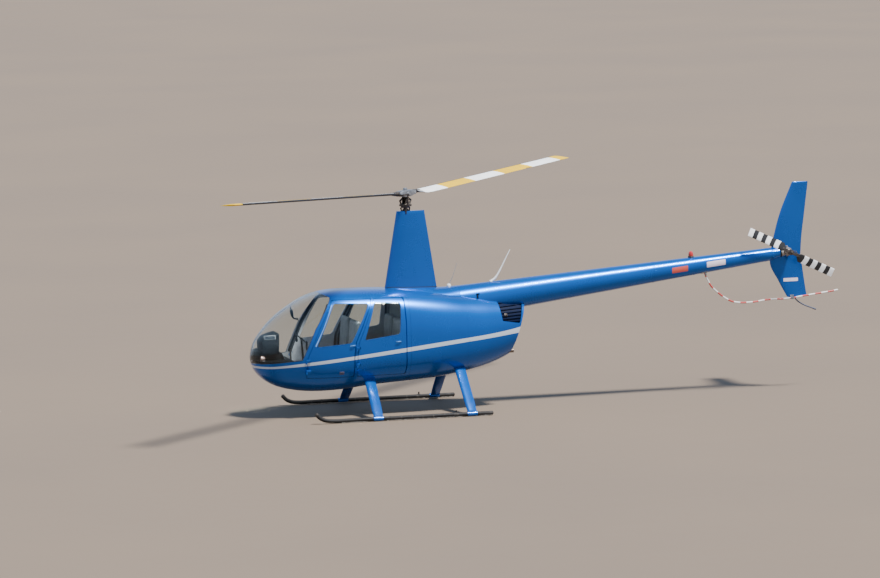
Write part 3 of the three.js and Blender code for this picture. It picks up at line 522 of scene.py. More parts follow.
def side_prism(name, side, outline):
    """A solid across one side. A third column leans an edge forward as it runs inboard."""
    rows = np.array(outline, float)
    lean = rows[:, 2] if rows.shape[1] > 2 else rows[:, 0] * 0
    rings = []
    for y in SIDE_CUT:
        shift = lean * (y - skin_y(rows[:, 0], rows[:, 1]))
        rings.append(np.stack([rows[:, 0] + shift, rows[:, 0] * 0 + side * y, rows[:, 1]], 1))
    return loft(name, rings)


def strip_on_skin(name, points, section, closed=False):
    """A moulding laid on the body along points on its skin.
    A section row is how far to one side and how far out from the skin."""
    points = np.asarray(points, float)
    normals = skin_normals(points)
    if closed:
        ahead = np.roll(points, -1, 0) - np.roll(points, 1, 0)
    else:
        ahead = np.gradient(points, axis=0)
    across = np.cross(ahead, normals)
    across /= np.linalg.norm(across, axis=1)[:, None]
    rings = points[:, None] + sum(
        axis[:, None] * np.array(section)[None, :, k, None] for k, axis in enumerate((across, normals))
    )
    if closed:
        rings = np.concatenate([rings, rings[:1]])
    return loft(name, rings, capped=not closed)


# Half the thickness of a wing section's tail, as a share of its chord
TAIL_EDGE = 0.0012


def wing_section(thickness, points=20):
    """Unit chord from a rounded nose at 0 to a thin tail at 1."""
    t = (1 - np.cos(np.linspace(0, pi, points + 1))) / 2
    half = 5 * thickness * (
        0.2969 * np.sqrt(t) - 0.126 * t - 0.3516 * t ** 2 + 0.2843 * t ** 3 - 0.1015 * t ** 4
    ) + TAIL_EDGE
    return np.concatenate([np.stack([t, half], 1), np.stack([t, -half], 1)[:0:-1]])


# Finishes
def shader(name, **values):
    """A new material, with values set on the Principled BSDF's own sockets."""
    mat = bpy.data.materials.new(name)
    mat.use_nodes = True
    bsdf = mat.node_tree.nodes["Principled BSDF"]
    for key, value in values.items():
        socket = bsdf.inputs[key.replace("_", " ")]
        socket.default_value = (*value, 1) if isinstance(value, tuple) else value
    return mat


class Tree:
    """A node tree with short ways to add and join nodes."""

    def __init__(self, tree):
        self.tree = tree

    def node(self, kind, **settings):
        made = self.tree.nodes.new("ShaderNode" + kind)
        for key, value in settings.items():
            setattr(made, key, value)
        return made

    def feed(self, socket, value):
        if isinstance(value, bpy.types.NodeSocket):
            self.tree.links.new(value, socket)
        elif isinstance(value, tuple) and len(value) == 3 and socket.type == "RGBA":
            socket.default_value = (*value, 1)
        else:
            socket.default_value = value

    def fed(self, kind, *values, **settings):
        """The outputs of a new node whose first inputs are fed."""
        made = self.node(kind, **settings)
        for socket, value in zip(made.inputs, values):
            self.feed(socket, value)
        return made.outputs

    def math(self, operation, a, b=0.0):
        return self.fed("Math", a, b, operation=operation)[0]

    def times(self, a, b):
        return self.math("MULTIPLY", a, b)

    def vector(self, operation, *values):
        return self.fed("VectorMath", *values, operation=operation)

    def mix(self, share, a, b, blend="MIX"):
        made = self.node("Mix", data_type="RGBA", blend_type=blend)
        self.feed(made.inputs[0], share)
        self.feed(made.inputs[6], a)
        self.feed(made.inputs[7], b)
        return made.outputs[2]

    def remap(self, value, low, high, to_low=0.0, to_high=1.0):
        return self.fed("MapRange", value, low, high, to_low, to_high, clamp=True)[0]

    def ramp(self, value, stops, mode="CONSTANT"):
        made = self.node("ValToRGB")
        made.color_ramp.interpolation = mode
        elements = made.color_ramp.elements
        while len(elements) < len(stops):
            elements.new(1.0)
        for element, (place, colour) in zip(elements, stops):
            element.position = place
            element.color = (*colour, 1)
        self.feed(made.inputs[0], value)
        return made.outputs[0]

    def curve(self, value, points, low, high):
        """A smooth curve through points (value, result), with results from low to high."""
        first, last = points[0][0], points[-1][0]
        made = self.node("FloatCurve")
        line = made.mapping.curves[0]
        for _ in points[2:]:
            line.points.new(0.5, 0.5)
        for point, (x, y) in zip(line.points, points):
            point.location = ((x - first) / (last - first), (y - low) / (high - low))
        made.mapping.update()
        self.feed(made.inputs["Value"], self.remap(value, first, last))
        return self.remap(made.outputs[0], 0.0, 1.0, low, high)

    def place(self):
        return self.node("TexCoord").outputs["Object"]

    def split(self, vector):
        return self.fed("SeparateXYZ", vector)

    def texture(self, kind, settings=None, **values):
        """A texture on object coordinates."""
        made = self.node(kind, **(settings or {}))
        self.feed(made.inputs["Vector"], self.place())
        for key, value in values.items():
            self.feed(made.inputs[key], value)
        return made.outputs[0]

    def relief(self, bsdf, height, strength, distance):
        made = self.node("Bump")
        for key, value in (("Strength", strength), ("Distance", distance), ("Height", height)):
            self.feed(made.inputs[key], value)
        self.feed(bsdf.inputs["Normal"], made.outputs[0])

    def group(self, name, **values):
        made = self.node("Group")
        made.node_tree = bpy.data.node_groups[name]
        for key, value in values.items():
            self.feed(made.inputs[key.replace("_", " ")], value)
        return made.outputs


def new_group(name, inputs, outputs):
    tree = bpy.data.node_groups.new(name, "ShaderNodeTree")
    kinds = {"f": "NodeSocketFloat", "c": "NodeSocketColor"}
    for label, kind in inputs.items():
        tree.interface.new_socket(name=label, in_out="INPUT", socket_type=kinds[kind])
    for label, kind in outputs.items():
        tree.interface.new_socket(name=label, in_out="OUTPUT", socket_type=kinds[kind])
    made = Tree(tree)
    start = tree.nodes.new("NodeGroupInput").outputs
    end = tree.nodes.new("NodeGroupOutput").inputs
    return made, start, end


# Uneven tone: two colours, a roughness range and a fine height, all from noise
tone, given, out = new_group(
    "uneven_tone",
    {"Scale": "f", "Light": "c", "Dark": "c", "Smooth": "f", "Rough": "f", "Grain": "f"},
    {"Colour": "c", "Roughness": "f", "Height": "f"},
)
broad = tone.texture("TexNoise", Scale=given["Scale"], Detail=5)
fine = tone.texture("TexNoise", Scale=tone.times(given["Scale"], given["Grain"]), Detail=3)
share = tone.remap(broad, 0.35, 0.65)
tone.feed(out["Colour"], tone.mix(share, given["Dark"], given["Light"]))
blend = tone.math("ADD", tone.times(share, 0.6), tone.times(fine, 0.4))
tone.feed(out["Roughness"], tone.remap(blend, 0.1, 0.9, given["Smooth"], given["Rough"]))
tone.feed(out["Height"], fine)

# Road dust and dried spray, thicker low down
dust, given, out = new_group("settled_dust", {"Low": "f", "High": "f", "Amount": "f"}, {"Mask": "f"})
lower = dust.remap(dust.split(dust.place())[2], given["High"], given["Low"])
patch = dust.remap(dust.texture("TexNoise", Scale=9, Detail=8, Roughness=0.7), 0.42, 0.75)
dust.feed(out["Mask"], dust.times(dust.times(lower, patch), given["Amount"]))

# Rubbed edges: paint gone at sharp corners, broken up by noise
worn, given, out = new_group("rubbed_edges", {"Scale": "f", "Amount": "f"}, {"Mask": "f"})
edge = worn.remap(worn.node("NewGeometry").outputs["Pointiness"], 0.52, 0.6)
mottle = worn.remap(worn.texture("TexNoise", Scale=given["Scale"], Detail=6), 0.45, 0.62)
worn.feed(out["Mask"], worn.times(worn.times(edge, mottle), given["Amount"]))


def with_tone(mat, light, dark, smooth, rough, scale=6.0, grain=14.0, bump=0.0, depth=0.001):
    """Gives a material uneven tone. Returns its tree, colour and Principled BSDF."""
    tree = Tree(mat.node_tree)
    bsdf = mat.node_tree.nodes["Principled BSDF"]
    made = tree.group(
        "uneven_tone", Scale=scale, Light=(*light, 1), Dark=(*dark, 1), Smooth=smooth, Rough=rough,
        Grain=grain,
    )
    tree.feed(bsdf.inputs["Base Color"], made["Colour"])
    tree.feed(bsdf.inputs["Roughness"], made["Roughness"])
    if bump:
        tree.relief(bsdf, made["Height"], bump, depth)
    return tree, made["Colour"], bsdf


BLUE_LIGHT = (0.0008, 0.098, 0.42)
BLUE_DARK = (0.0008, 0.088, 0.38)
DUST = (0.3, 0.29, 0.26)
STRIPE_GREY = (0.5, 0.56, 0.64)
# The waist stripe's middle height along the body
STRIPE = [
    (-2.306, 0.758), (-2.166, 0.759), (-1.969, 0.775), (-1.762, 0.797), (-1.334, 0.841),
    (-0.888, 0.887), (-0.286, 0.951), (0.479, 1.031), (1.283, 1.103), (1.64, 1.147),
]
# x and half the stripe's height
STRIPE_HALF = [
    (-2.306, 0.016), (-1.95, 0.017), (-1.7, 0.022), (-0.9, 0.026), (0.0, 0.03),
    (1.3, 0.032), (1.64, 0.043),
]


def paint(name, stripe=False, dusty=(0.3, 0.55, 0.12)):
    mat = shader(name, Metallic=0.55, Coat_Weight=0.8, Coat_Roughness=0.05, Coat_IOR=1.3, IOR=1.3)
    tree, colour, bsdf = with_tone(mat, BLUE_LIGHT, BLUE_DARK, 0.24, 0.3, 1.3, 60.0, 0.02, 0.0005)
    low, high, amount = dusty
    powder = tree.group("settled_dust", Low=low, High=high, Amount=amount)["Mask"]
    if stripe:
        along, _, upward = tree.split(tree.place())
        middle = tree.curve(along, [(x + AXIS_X, z) for x, z in STRIPE], 0.6, 1.4)
        off = tree.math("ABSOLUTE", tree.math("SUBTRACT", upward, middle))
        half = tree.curve(along, [(x + AXIS_X, z) for x, z in STRIPE_HALF], 0.0, 0.1)
        inside = tree.math("SUBTRACT", half, off)
        mask = tree.remap(inside, -0.0006, 0.0006)
        colour = tree.mix(mask, colour, STRIPE_GREY)
        tree.feed(bsdf.inputs["Metallic"], tree.remap(mask, 0, 1, 0.55, 0.15))
    tree.feed(bsdf.inputs["Base Color"], tree.mix(powder, colour, DUST))
    return mat


def simple(name, light, dark, smooth, rough, **more):
    """A finish of uneven tone; scale, grain, bump and depth may be given, and socket values."""
    shape = {key: more.pop(key) for key in ("scale", "grain", "bump", "depth") if key in more}
    mat = shader(name, **more)
    with_tone(mat, light, dark, smooth, rough, **shape)
    return mat


def worn_paint(name, light, dark, under, smooth, rough, amount, scale=25.0, **more):
    """Paint that is rubbed through to what is under it along its edges."""
    mat = shader(name, **more)
    tree, colour, bsdf = with_tone(mat, light, dark, smooth, rough, 5.0, 20.0, 0.08, 0.0006)
    mask = tree.group("rubbed_edges", Scale=scale, Amount=amount)["Mask"]
    tree.feed(bsdf.inputs["Base Color"], tree.mix(mask, colour, under))
    return mat


def banded(name, centre, keep, reach, stops, shine=0.5):
    """Paint in bands by the distance from an axis. keep zeroes the direction of the axis."""
    mat = shader(name, Specular_IOR_Level=shine)
    tree, _, bsdf = with_tone(mat, (1, 1, 1), (0.92, 0.92, 0.92), 0.45, 0.6, 7.0, 18.0, 0.05, 0.0005)
    tint = bsdf.inputs["Base Color"].links[0].from_socket
    off = tree.vector("SUBTRACT", tree.place(), centre)[0]
    far = tree.vector("LENGTH", tree.vector("MULTIPLY", off, keep)[0])["Value"]
    bands = tree.ramp(tree.math("DIVIDE", far, reach), stops)
    tree.feed(bsdf.inputs["Base Color"], tree.mix(1, bands, tint, "MULTIPLY"))
    return mat


def glass(name, tint, roughness=0.02, sheen=0.5):
    """Clear sheet that lets lamp light through, so that the cabin behind it isn't dark."""
    mat = shader(name, Metallic=0.0, Transmission_Weight=1.0, IOR=1.3, Specular_IOR_Level=sheen)
    tree = Tree(mat.node_tree)
    bsdf = mat.node_tree.nodes["Principled BSDF"]
    smear = tree.texture("TexNoise", Scale=3, Detail=6)
    tree.feed(bsdf.inputs["Roughness"], tree.remap(smear, 0.4, 0.8, roughness, roughness + 0.02))
    tree.feed(bsdf.inputs["Base Color"], tree.mix(smear, tint, tuple(0.96 * c for c in tint)))
    clear = tree.fed("BsdfTransparent", tint)[0]
    shadow = tree.node("LightPath").outputs["Is Shadow Ray"]
    either = tree.fed("MixShader", shadow, bsdf.outputs[0], clear)[0]
    tree.feed(mat.node_tree.nodes["Material Output"].inputs[0], either)
    return mat


WHITE = (0.97, 0.97, 0.96)
YELLOW = (0.78, 0.47, 0.0)
SOOT = (0.035, 0.034, 0.036)
BLACK = (0.012, 0.012, 0.014)

hull_paint = paint("hull_paint", stripe=True)
blue_paint = paint("blue_paint", dusty=(0.1, 0.4, 0.15))
canopy = glass("canopy_acrylic", (0.86, 0.9, 0.9), sheen=0.2)
window = glass("window_acrylic", (0.74, 0.8, 0.8))
frame_grey = worn_paint(
    "frame_grey", (0.12, 0.135, 0.19), (0.09, 0.1, 0.15), (0.4, 0.4, 0.42), 0.4, 0.55, 0.4, Metallic=0.2
)
rubber = simple("seal_rubber", (0.022, 0.022, 0.024), BLACK, 0.6, 0.8, scale=20.0, bump=0.2)
liner = simple("cabin_liner", (0.17, 0.18, 0.19), (0.14, 0.145, 0.155), 0.7, 0.9, scale=30.0, bump=0.3)
door_liner = simple("door_liner", (0.5, 0.51, 0.54), (0.42, 0.43, 0.46), 0.6, 0.8, scale=30.0, bump=0.25)
# A lighter blue than the body paint for the seals' outer faces: painted light that lifts the shade in the
# door gaps
jamb_blue = simple("jamb_blue", (0.002, 0.13, 0.55), (0.002, 0.11, 0.48), 0.5, 0.7, scale=12.0)
# A light blue for the strip ahead of the front window: a painted highlight on the door frame's edge
edge_blue = simple(
    "edge_blue", (0.16, 0.36, 0.74), (0.13, 0.31, 0.66), 0.25, 0.4, scale=9.0, Coat_Weight=0.6
)
tail_skid_grey = simple("tail_skid_grey", (0.1, 0.115, 0.17), (0.06, 0.07, 0.11), 0.4, 0.6, scale=20.0)
handle_blue = simple(
    "handle_blue", (0.05, 0.17, 0.42), (0.035, 0.13, 0.34), 0.3, 0.5, scale=25.0, Metallic=0.6
)
vent_plum = simple("vent_plum", (0.085, 0.075, 0.13), (0.06, 0.055, 0.1), 0.4, 0.6, scale=30.0, bump=0.1)
engine_cast = simple(
    "engine_cast", (0.12, 0.12, 0.125), (0.06, 0.06, 0.065), 0.6, 0.8, scale=30.0, bump=0.4
)
carpet = simple(
    "floor_carpet", (0.1, 0.105, 0.11), (0.06, 0.062, 0.068), 0.9, 1.0, scale=60.0, grain=12.0,
    bump=0.6, depth=0.004, Sheen_Weight=0.3,
)
trim = simple(
    "dash_trim", (0.004, 0.007, 0.01), (0.002, 0.004, 0.006), 0.5, 0.7, scale=40.0, bump=0.25,
    Specular_IOR_Level=0.1,
)
skid_black = worn_paint(
    "skid_black", (0.03, 0.028, 0.027), (0.014, 0.013, 0.013), (0.16, 0.14, 0.12), 0.5, 0.7, 0.5, 18.0,
    Specular_IOR_Level=0.2,
)
shoe_steel = simple(
    "shoe_steel", (0.35, 0.33, 0.3), (0.16, 0.14, 0.12), 0.4, 0.7, scale=30.0, bump=0.3, Metallic=0.9
)
alloy = worn_paint(
    "head_alloy", (0.3, 0.31, 0.33), (0.19, 0.2, 0.22), (0.6, 0.6, 0.6), 0.35, 0.55, 0.5, Metallic=0.7
)
dark_steel = simple(
    "dark_steel", (0.13, 0.11, 0.1), (0.05, 0.045, 0.04), 0.4, 0.65, scale=25.0, bump=0.15, Metallic=0.85
)
grey_case = simple(
    "grey_case", (0.36, 0.37, 0.38), (0.26, 0.27, 0.28), 0.45, 0.65, scale=40.0, bump=0.35, Metallic=0.4
)
brown_case = simple(
    "worn_case", (0.34, 0.31, 0.29), (0.22, 0.2, 0.19), 0.4, 0.6, scale=35.0, bump=0.3, Metallic=0.5
)
louvre_navy = simple(
    "louvre_navy", (0.0015, 0.007, 0.032), (0.001, 0.005, 0.022), 0.5, 0.7, scale=12.0,
    Specular_IOR_Level=0.12,
)
primer = simple("grey_primer", (0.3, 0.32, 0.31), (0.24, 0.25, 0.25), 0.5, 0.7, scale=12.0, bump=0.1)
hot_steel = simple(
    "hot_steel", (0.3, 0.24, 0.19), (0.1, 0.08, 0.075), 0.35, 0.6, scale=12.0, bump=0.1, Metallic=0.9
)
soot_inside = simple("pipe_soot", (0.03, 0.028, 0.026), BLACK, 0.85, 0.95, scale=30.0, bump=0.3)
white_plastic = simple(
    "white_moulding", (0.82, 0.82, 0.8), (0.72, 0.72, 0.69), 0.25, 0.4, scale=14.0, Coat_Weight=0.3
)
placard_red = simple(
    "placard_red", (0.55, 0.07, 0.05), (0.46, 0.05, 0.04), 0.3, 0.45, scale=9.0, Coat_Weight=0.4
)
placard_white = simple(
    "placard_white", (0.82, 0.7, 0.78), (0.74, 0.62, 0.7), 0.3, 0.45, scale=9.0, Coat_Weight=0.4
)
screen = simple(
    "dark_screen", (0.02, 0.025, 0.03), (0.012, 0.015, 0.02), 0.06, 0.12, scale=5.0, Coat_Weight=1.0
)
screen_rim = simple("pale_rim", (0.1, 0.11, 0.125), (0.075, 0.085, 0.095), 0.35, 0.5, scale=15.0)
red_lens = simple(
    "red_lens", (0.6, 0.02, 0.02), (0.42, 0.01, 0.01), 0.08, 0.15, scale=12.0, Coat_Weight=1.0
)
lamp_lens = glass("lamp_lens", (0.93, 0.93, 0.92), 0.03)
reflector = simple(
    "lamp_reflector", (0.95, 0.62, 0.52), (0.9, 0.56, 0.46), 0.08, 0.2, scale=30.0, Metallic=0.8
)

AXIS = (AXIS_X, 0, 0)
blade_top = banded(
    "blade_top", AXIS, (1, 1, 0), 5.03,
    [(0, (0.35, 0.36, 0.37)), (0.0765, WHITE), (0.197, YELLOW), (0.372, WHITE), (0.559, YELLOW),
     (0.747, WHITE), (0.934, YELLOW)], 0.15,
)
# Dark underside paint with a yellow tip. It is also laid over the leading edge as painted shade
blade_under = banded(
    "blade_under", AXIS, (1, 1, 0), 5.03, [(0, (0.1, 0.1, 0.11)), (0.0765, SOOT), (0.955, YELLOW)], 0.2,
)
TAIL_AXIS = (5.893, -0.218, 2.091)
TAIL_RADIUS = 0.737
tail_bands = banded(
    "tail_blade_bands", (TAIL_AXIS[0] + AXIS_X, TAIL_AXIS[1], TAIL_AXIS[2]), (1, 0, 1), TAIL_RADIUS,
    [(0, BLACK)]
    + [((0.15 + 0.0734 * k) / TAIL_RADIUS, WHITE if k % 2 else BLACK) for k in range(8)],
)

# Red and white bands along the guard's bent tube, and how long a pair of them is
GUARD_BAND = 0.202
guard_bands = shader("guard_bands", Coat_Weight=0.4)
tree, colour, bsdf = with_tone(guard_bands, (0.8, 0.78, 0.75), (0.7, 0.68, 0.65), 0.35, 0.5, 9.0)
along = tree.node("Attribute", attribute_name="along").outputs["Fac"]
band = tree.math("PINGPONG", tree.math("ADD", along, GUARD_BAND - 0.035), GUARD_BAND / 2)
red = tree.math("LESS_THAN", band, GUARD_BAND / 4)
tree.feed(bsdf.inputs["Base Color"], tree.mix(red, colour, (0.52, 0.05, 0.045)))

# Grained hide with small creases
hide = shader("seat_hide", Sheen_Weight=0.15, Coat_Weight=0.08, Coat_Roughness=0.4)
tree, _, bsdf = with_tone(hide, (0.27, 0.28, 0.3), (0.2, 0.21, 0.225), 0.42, 0.6, 8.0)
cells = tree.texture("TexVoronoi", {"feature": "DISTANCE_TO_EDGE"}, Scale=260)
creases = tree.texture("TexNoise", {"noise_type": "RIDGED_MULTIFRACTAL"}, Scale=14)
height = tree.math("ADD", tree.times(tree.remap(cells, 0.0, 0.12), 0.5), tree.times(creases, 0.3))
tree.relief(bsdf, height, 0.5, 0.0008)


def hand_over(obj, finishes, slot, *nodes, body="airframe", angle=35):
    """Moves a finished piece to its place on its body and gives it its finish."""
    if isinstance(finishes, bpy.types.Material):
        finishes = [finishes]
    obj.data.materials.clear()
    for finish in finishes:
        obj.data.materials.append(finish)
    move(obj, Matrix.Translation((AXIS_X, 0, 0)))
    obj.data.name = obj.name
    only(obj)
    bpy.ops.object.shade_smooth_by_angle(angle=radians(angle))
    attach(obj, body)
    if nodes:
        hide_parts(*nodes)
    return obj


def paint_faces(obj, test, index):
    """Gives the faces that pass the test another of the piece's finishes."""
    chosen = test(*(vectors(obj.data.polygons, key) for key in ("center", "normal")))
    slots = np.empty(len(obj.data.polygons), np.int32)
    obj.data.polygons.foreach_get("material_index", slots)
    slots[np.asarray(chosen, bool)] = index
    obj.data.polygons.foreach_set("material_index", slots)
    return obj


def is_lining(centres, normals):
    """Faces of the shell that look into the cabin."""
    here = centres - np.array([AXIS_X, 0, 0])
    outward = skin_normals(here)
    return (np.sum(outward * normals, axis=1) < -0.3) & (fullness(here) < 0.995)


def hand_over_shell(obj, node, lining=liner, body="airframe"):
    hand_over(obj, [hull_paint, lining], "body_blue", node, body=body)
    return paint_faces(obj, is_lining, 1)


def hand_over_pair(piece, name, finishes, slot, *nodes, body="airframe"):
    """Hands over a starboard piece and its mirror image. {} in a name is filled with the side."""
    for side_name, side in SIDES.items():
        label = name.format(side_name)
        made = twin(piece, label) if side > 0 else mirrored(piece, label)
        hand_over(
            made, finishes, slot, *(n.format(side_name) for n in nodes), body=body.format(side_name)
        )
    remove(piece)


def face_frame(origin, out, rise):
    """A placement whose y points straight out of a face and whose z points up along it."""
    out = Vector(out).normalized()
    rise = Vector(rise).normalized()
    turn = Matrix((out.cross(rise), out, rise)).transposed().to_4x4()
    return Matrix.Translation(origin) @ turn


def skin_frame(x, z):
    """A placement on the starboard skin: x aft along it, y straight out and z up along it."""
    point = on_skin([(x, z)], 1)
    normal = Vector(skin_normals(point)[0])
    aft = Vector((1, 0, 0)) - normal * normal.x
    return face_frame(point[0], normal, aft.cross(normal))


# Body shells
FIREWALL_X = -0.11
COWL_SEAM_X = 0.795
SILL_Z = 0.6
NOSE_TOP_Z = 0.871
REAR = [(1.29, 0.2), (1.516, 0.856), (1.615, 1.144), (1.702, 1.399), (1.79, 1.65), (1.79, 1.95)]
WINDSHIELD = [
    (-2.45, 0.8), (-2.33, 0.806), (-2.102, 0.827), (-1.721, 0.871), (-1.521, 1.317),
    (-1.271, 1.715), (-1.25, 1.749), (-1.33, 1.79), (-1.4, 1.815), (-1.4, 1.95), (-2.45, 1.95),
]
# x, z, lean, and how far the opening's edge stands off in x and z
FRONT_DOOR = np.array([
    [-1.24, 1.715, 0, -0.006, 0.006], [-0.661, 1.715, 0.22, 0.011, 0.006],
    [-0.79, 1.437, 0.22, 0.011, 0], [-0.948, 1.095, 0.22, 0.011, 0],
    [-0.968, 0.9, 0.22, 0.011, 0], [-0.968, 0.6, 0.22, 0.011, -0.006],
    [-1.655, 0.6, 0, -0.006, -0.006], [-1.655, 0.871, 0, -0.006, 0],
    [-1.462, 1.317, 0, -0.006, 0], [-1.268, 1.672, 0, -0.006, 0],
])
REAR_DOOR = np.array([
    [-0.62, 1.715, 0, -0.006, 0.006], [-0.185, 1.715, 0.38, 0.015, 0.006],
    [-0.185, 1.5, 0.38, 0.015, 0], [-0.185, 1.2, 0.38, 0.015, 0],
    [-0.185, 0.9, 0.38, 0.015, 0], [-0.185, 0.6, 0.38, 0.015, -0.006],
    [-0.912, 0.6, 0, -0.006, -0.006], [-0.912, 0.9, 0, -0.006, 0],
    [-0.89, 1.095, 0, -0.006, 0], [-0.649, 1.652, 0, -0.006, 0],
])
FRONT_WINDOW = [(-1.233, 1.672), (-0.708, 1.654), (-1.004, 1.095), (-1.518, 1.057)]
REAR_WINDOW = [(-0.627, 1.663), (-0.232, 1.647), (-0.273, 1.199), (-0.809, 1.13)]
DOOR_CORNER = 0.035
WINDOW_CORNER = 0.04
DOORS = {"front": (FRONT_DOOR, FRONT_WINDOW), "rear": (REAR_DOOR, REAR_WINDOW)}
BOOM = {"x0": 0.76, "x1": 5.63, "z": 1.668, "at": 1.87, "rise": 0.10294, "r": 0.214, "taper": 0.0308}
MAST_ROOM = 0.044


def boom_z(x):
    return BOOM["z"] + BOOM["rise"] * (x - BOOM["at"])


def boom_r(x):
    return BOOM["r"] - BOOM["taper"] * (x - BOOM["at"])


def boom_part(name, x0, x1, more, steps=2, sides=96):
    angle = turns(sides)
    rings = []
    for x in np.linspace(x0, x1, steps):
        radius = boom_r(x) + more
        z = boom_z(x) + radius * np.sin(angle)
        rings.append(np.stack([angle * 0 + x, radius * np.cos(angle), z], 1))
    return loft(name, rings)


def rear_cut(inset=0.0):
    edge = [(x - inset, z) for x, z in REAR]
    return prism("rear_cut", [(-2.6, 0.2)] + edge + [(-2.6, 1.95)])


def door_line(door):
    return rounded(door[:, :3], DOOR_CORNER, 6)


def opening_line(door):
    moved = door[:, :3].copy()
    moved[:, :2] += door[:, 3:]
    return rounded(moved, DOOR_CORNER, 6)


outer = keep_within(body_solid("outer"), rear_cut())
inner = keep_within(body_solid("inner", WALL, 110, 96), rear_cut(WALL))
shell = cut_by(twin(outer, "shell"), inner)
pane_skin = carve(twin(outer, "pane_skin"), body_solid("pane_inner", GLASS, 150, 120))
mast_room = rod("mast_room", (0, 0, 1.2), (0, 0, 3.0), MAST_ROOM, sides=48)
boom_room = boom_part("boom_room", BOOM["x0"] - 0.001, BOOM["x1"], 0.0006)
windshield_zone = prism("windshield_zone", WINDSHIELD)

all_openings = None
for side in SIDES.values():
    for door, _ in DOORS.values():
        tool = side_prism("opening", side, opening_line(door))
        all_openings = carve(all_openings, tool, "UNION") if all_openings else tool

hull_zone = prism("hull_zone", [
    (-FAR, 0), (FIREWALL_X, 0), (FIREWALL_X, SILL_Z - SEAM), (-1.655 - SEAM, SILL_Z - SEAM),
    (-1.655 - SEAM, NOSE_TOP_Z), (-FAR, NOSE_TOP_Z),
])
lower_hull = keep_within(twin(shell, "hull_lower"), hull_zone)
cut_by(lower_hull, windshield_zone, all_openings)
hand_over_shell(lower_hull, "lower_hull")

frame_zone = prism("frame_zone", [
    (-FAR, NOSE_TOP_Z + FIT), (-1.659, NOSE_TOP_Z + FIT), (-1.659, SILL_Z - SEAM + FIT),
    (FIREWALL_X, SILL_Z - SEAM + FIT), (FIREWALL_X, 1.95), (-FAR, 1.95),
])
cabin_frame = keep_within(twin(shell, "frame_cabin"), frame_zone)
cut_by(cabin_frame, windshield_zone, all_openings, mast_room)
hand_over_shell(cabin_frame, "cabin_frame")

# Windshield panes with their centre strip
STRIP_HALF = 0.014
fit_line = [(x, z + 0.0005) if z <= NOSE_TOP_Z else (x - 0.0005, z) for x, z in WINDSHIELD]
windshield_fit = prism("windshield_fit", fit_line)
strip_skin = carve(twin(outer, "strip_skin"), body_solid("strip_inner", 0.016, 110, 96))
keep_within(strip_skin, windshield_fit, keep=True)
keep_within(strip_skin, block("strip_zone", -FAR, FAR, -STRIP_HALF, STRIP_HALF, 0, FAR))
strip_skin.name = "strip_windshield"
hand_over(strip_skin, frame_grey, "trim_dark", "windshield_strip")
for name, side in SIDES.items():
    pane = keep_within(twin(pane_skin, f"pane_windshield_{name}"), windshield_fit, keep=True)
    near = STRIP_HALF + FIT
    keep_within(pane, block("half", -FAR, FAR, side * near, side * FAR, 0, FAR))
    hand_over(pane, canopy, "window_clear", f"windshield_{name}")
remove(windshield_fit)

# The bead round a window: rows are how far to one side and how far out from the skin
BEAD = [
    (-0.006, -0.001), (-0.006, 0.0012), (-0.004, 0.002), (0.004, 0.002), (0.006, 0.0012),
    (0.006, -0.001),
]

# Doors, panes and the rubber seals behind the gaps
jamb_skin = carve(body_solid("jamb_skin", 0.0235, 110, 96), body_solid("jamb_inner", 0.0275, 110, 96))
for name, side in SIDES.items():
    for row, (door, pane_line) in DOORS.items():
        body = f"{row}_{name}_door"
        hole = rounded(pane_line, WINDOW_CORNER)
        panel = twin(shell, f"panel_{row}_door_{name}")
        keep_within(panel, side_prism("zone", side, door_line(door)))
        carve(panel, side_prism("hole", side, hole))
        hand_over_shell(panel, f"{row}_door_{name}", door_liner, body)
        pane = twin(pane_skin, f"pane_{row}_door_{name}")
        keep_within(pane, side_prism("pane_zone", side, grown(hole, -FIT)))
        hand_over(pane, window, "window_clear", f"{row}_door_glass_{name}", body=body)
        # The seal's outer face is painted a lighter blue than the body to lift the shade in the gap; its
        # inner faces are rubber
        seal = twin(jamb_skin, f"seal_{row}_door_{name}")
        keep_within(seal, side_prism("seal_out", side, grown(opening_line(door), 0.01)))
        carve(seal, side_prism("seal_in", side, grown(opening_line(door), -0.022)))
        paint_faces(hand_over(seal, [jamb_blue, rubber], "trim_dark"), is_lining, 1)
        frame_line = on_skin(spread_along(grown(hole, 0.004), 0.012), side)
        surround = strip_on_skin(f"surround_{row}_window_{name}", frame_line, BEAD, closed=True)
        hand_over(surround, blue_paint, "body_blue", body=body)
remove(jamb_skin)

# A thin strip ahead of the front window, light blue as a painted highlight on the door frame's edge; a
# black strip inside the windshield posts as painted shade; and the thin seal round the windshield
FLAT_STRIP = [(-1, -0.0005), (-1, 0.001), (-0.7, 0.0016), (0.7, 0.0016), (1, 0.001), (1, -0.0005)]


def flat_strip(name, line, half):
    points = on_skin(spread_along(line, 0.015, closed=False), 1)
    return strip_on_skin(name, points, [(half * across, out) for across, out in FLAT_STRIP])


highlight_line = [(-1.532, 1.07), (-1.4, 1.33), (-1.253, 1.655)]
hand_over_pair(
    flat_strip("edge", highlight_line, 0.01), "window_edge_{}", edge_blue, "body_blue", body="front_{}_door"
)
# A black strip inside each windshield post: painted shade where the post's inside falls in shadow
post_line = [(-1.692, 0.885), (-1.502, 1.317), (-1.306, 1.68)]
post_points = on_skin(spread_along(post_line, 0.03, closed=False), 1)
post_section = [(-0.018, -0.028), (-0.018, -0.0315), (0.018, -0.0315), (0.018, -0.028)]
hand_over_pair(strip_on_skin("post", post_points, post_section), "post_trim_{}", trim, "trim_dark")
seal_line = [(-2.29, 0.809), (-2.102, 0.827), (-1.724, 0.871), (-1.524, 1.317), (-1.276, 1.71)]
hand_over_pair(flat_strip("seal", seal_line, 0.0035), "windshield_seal_{}", rubber, "trim_dark")

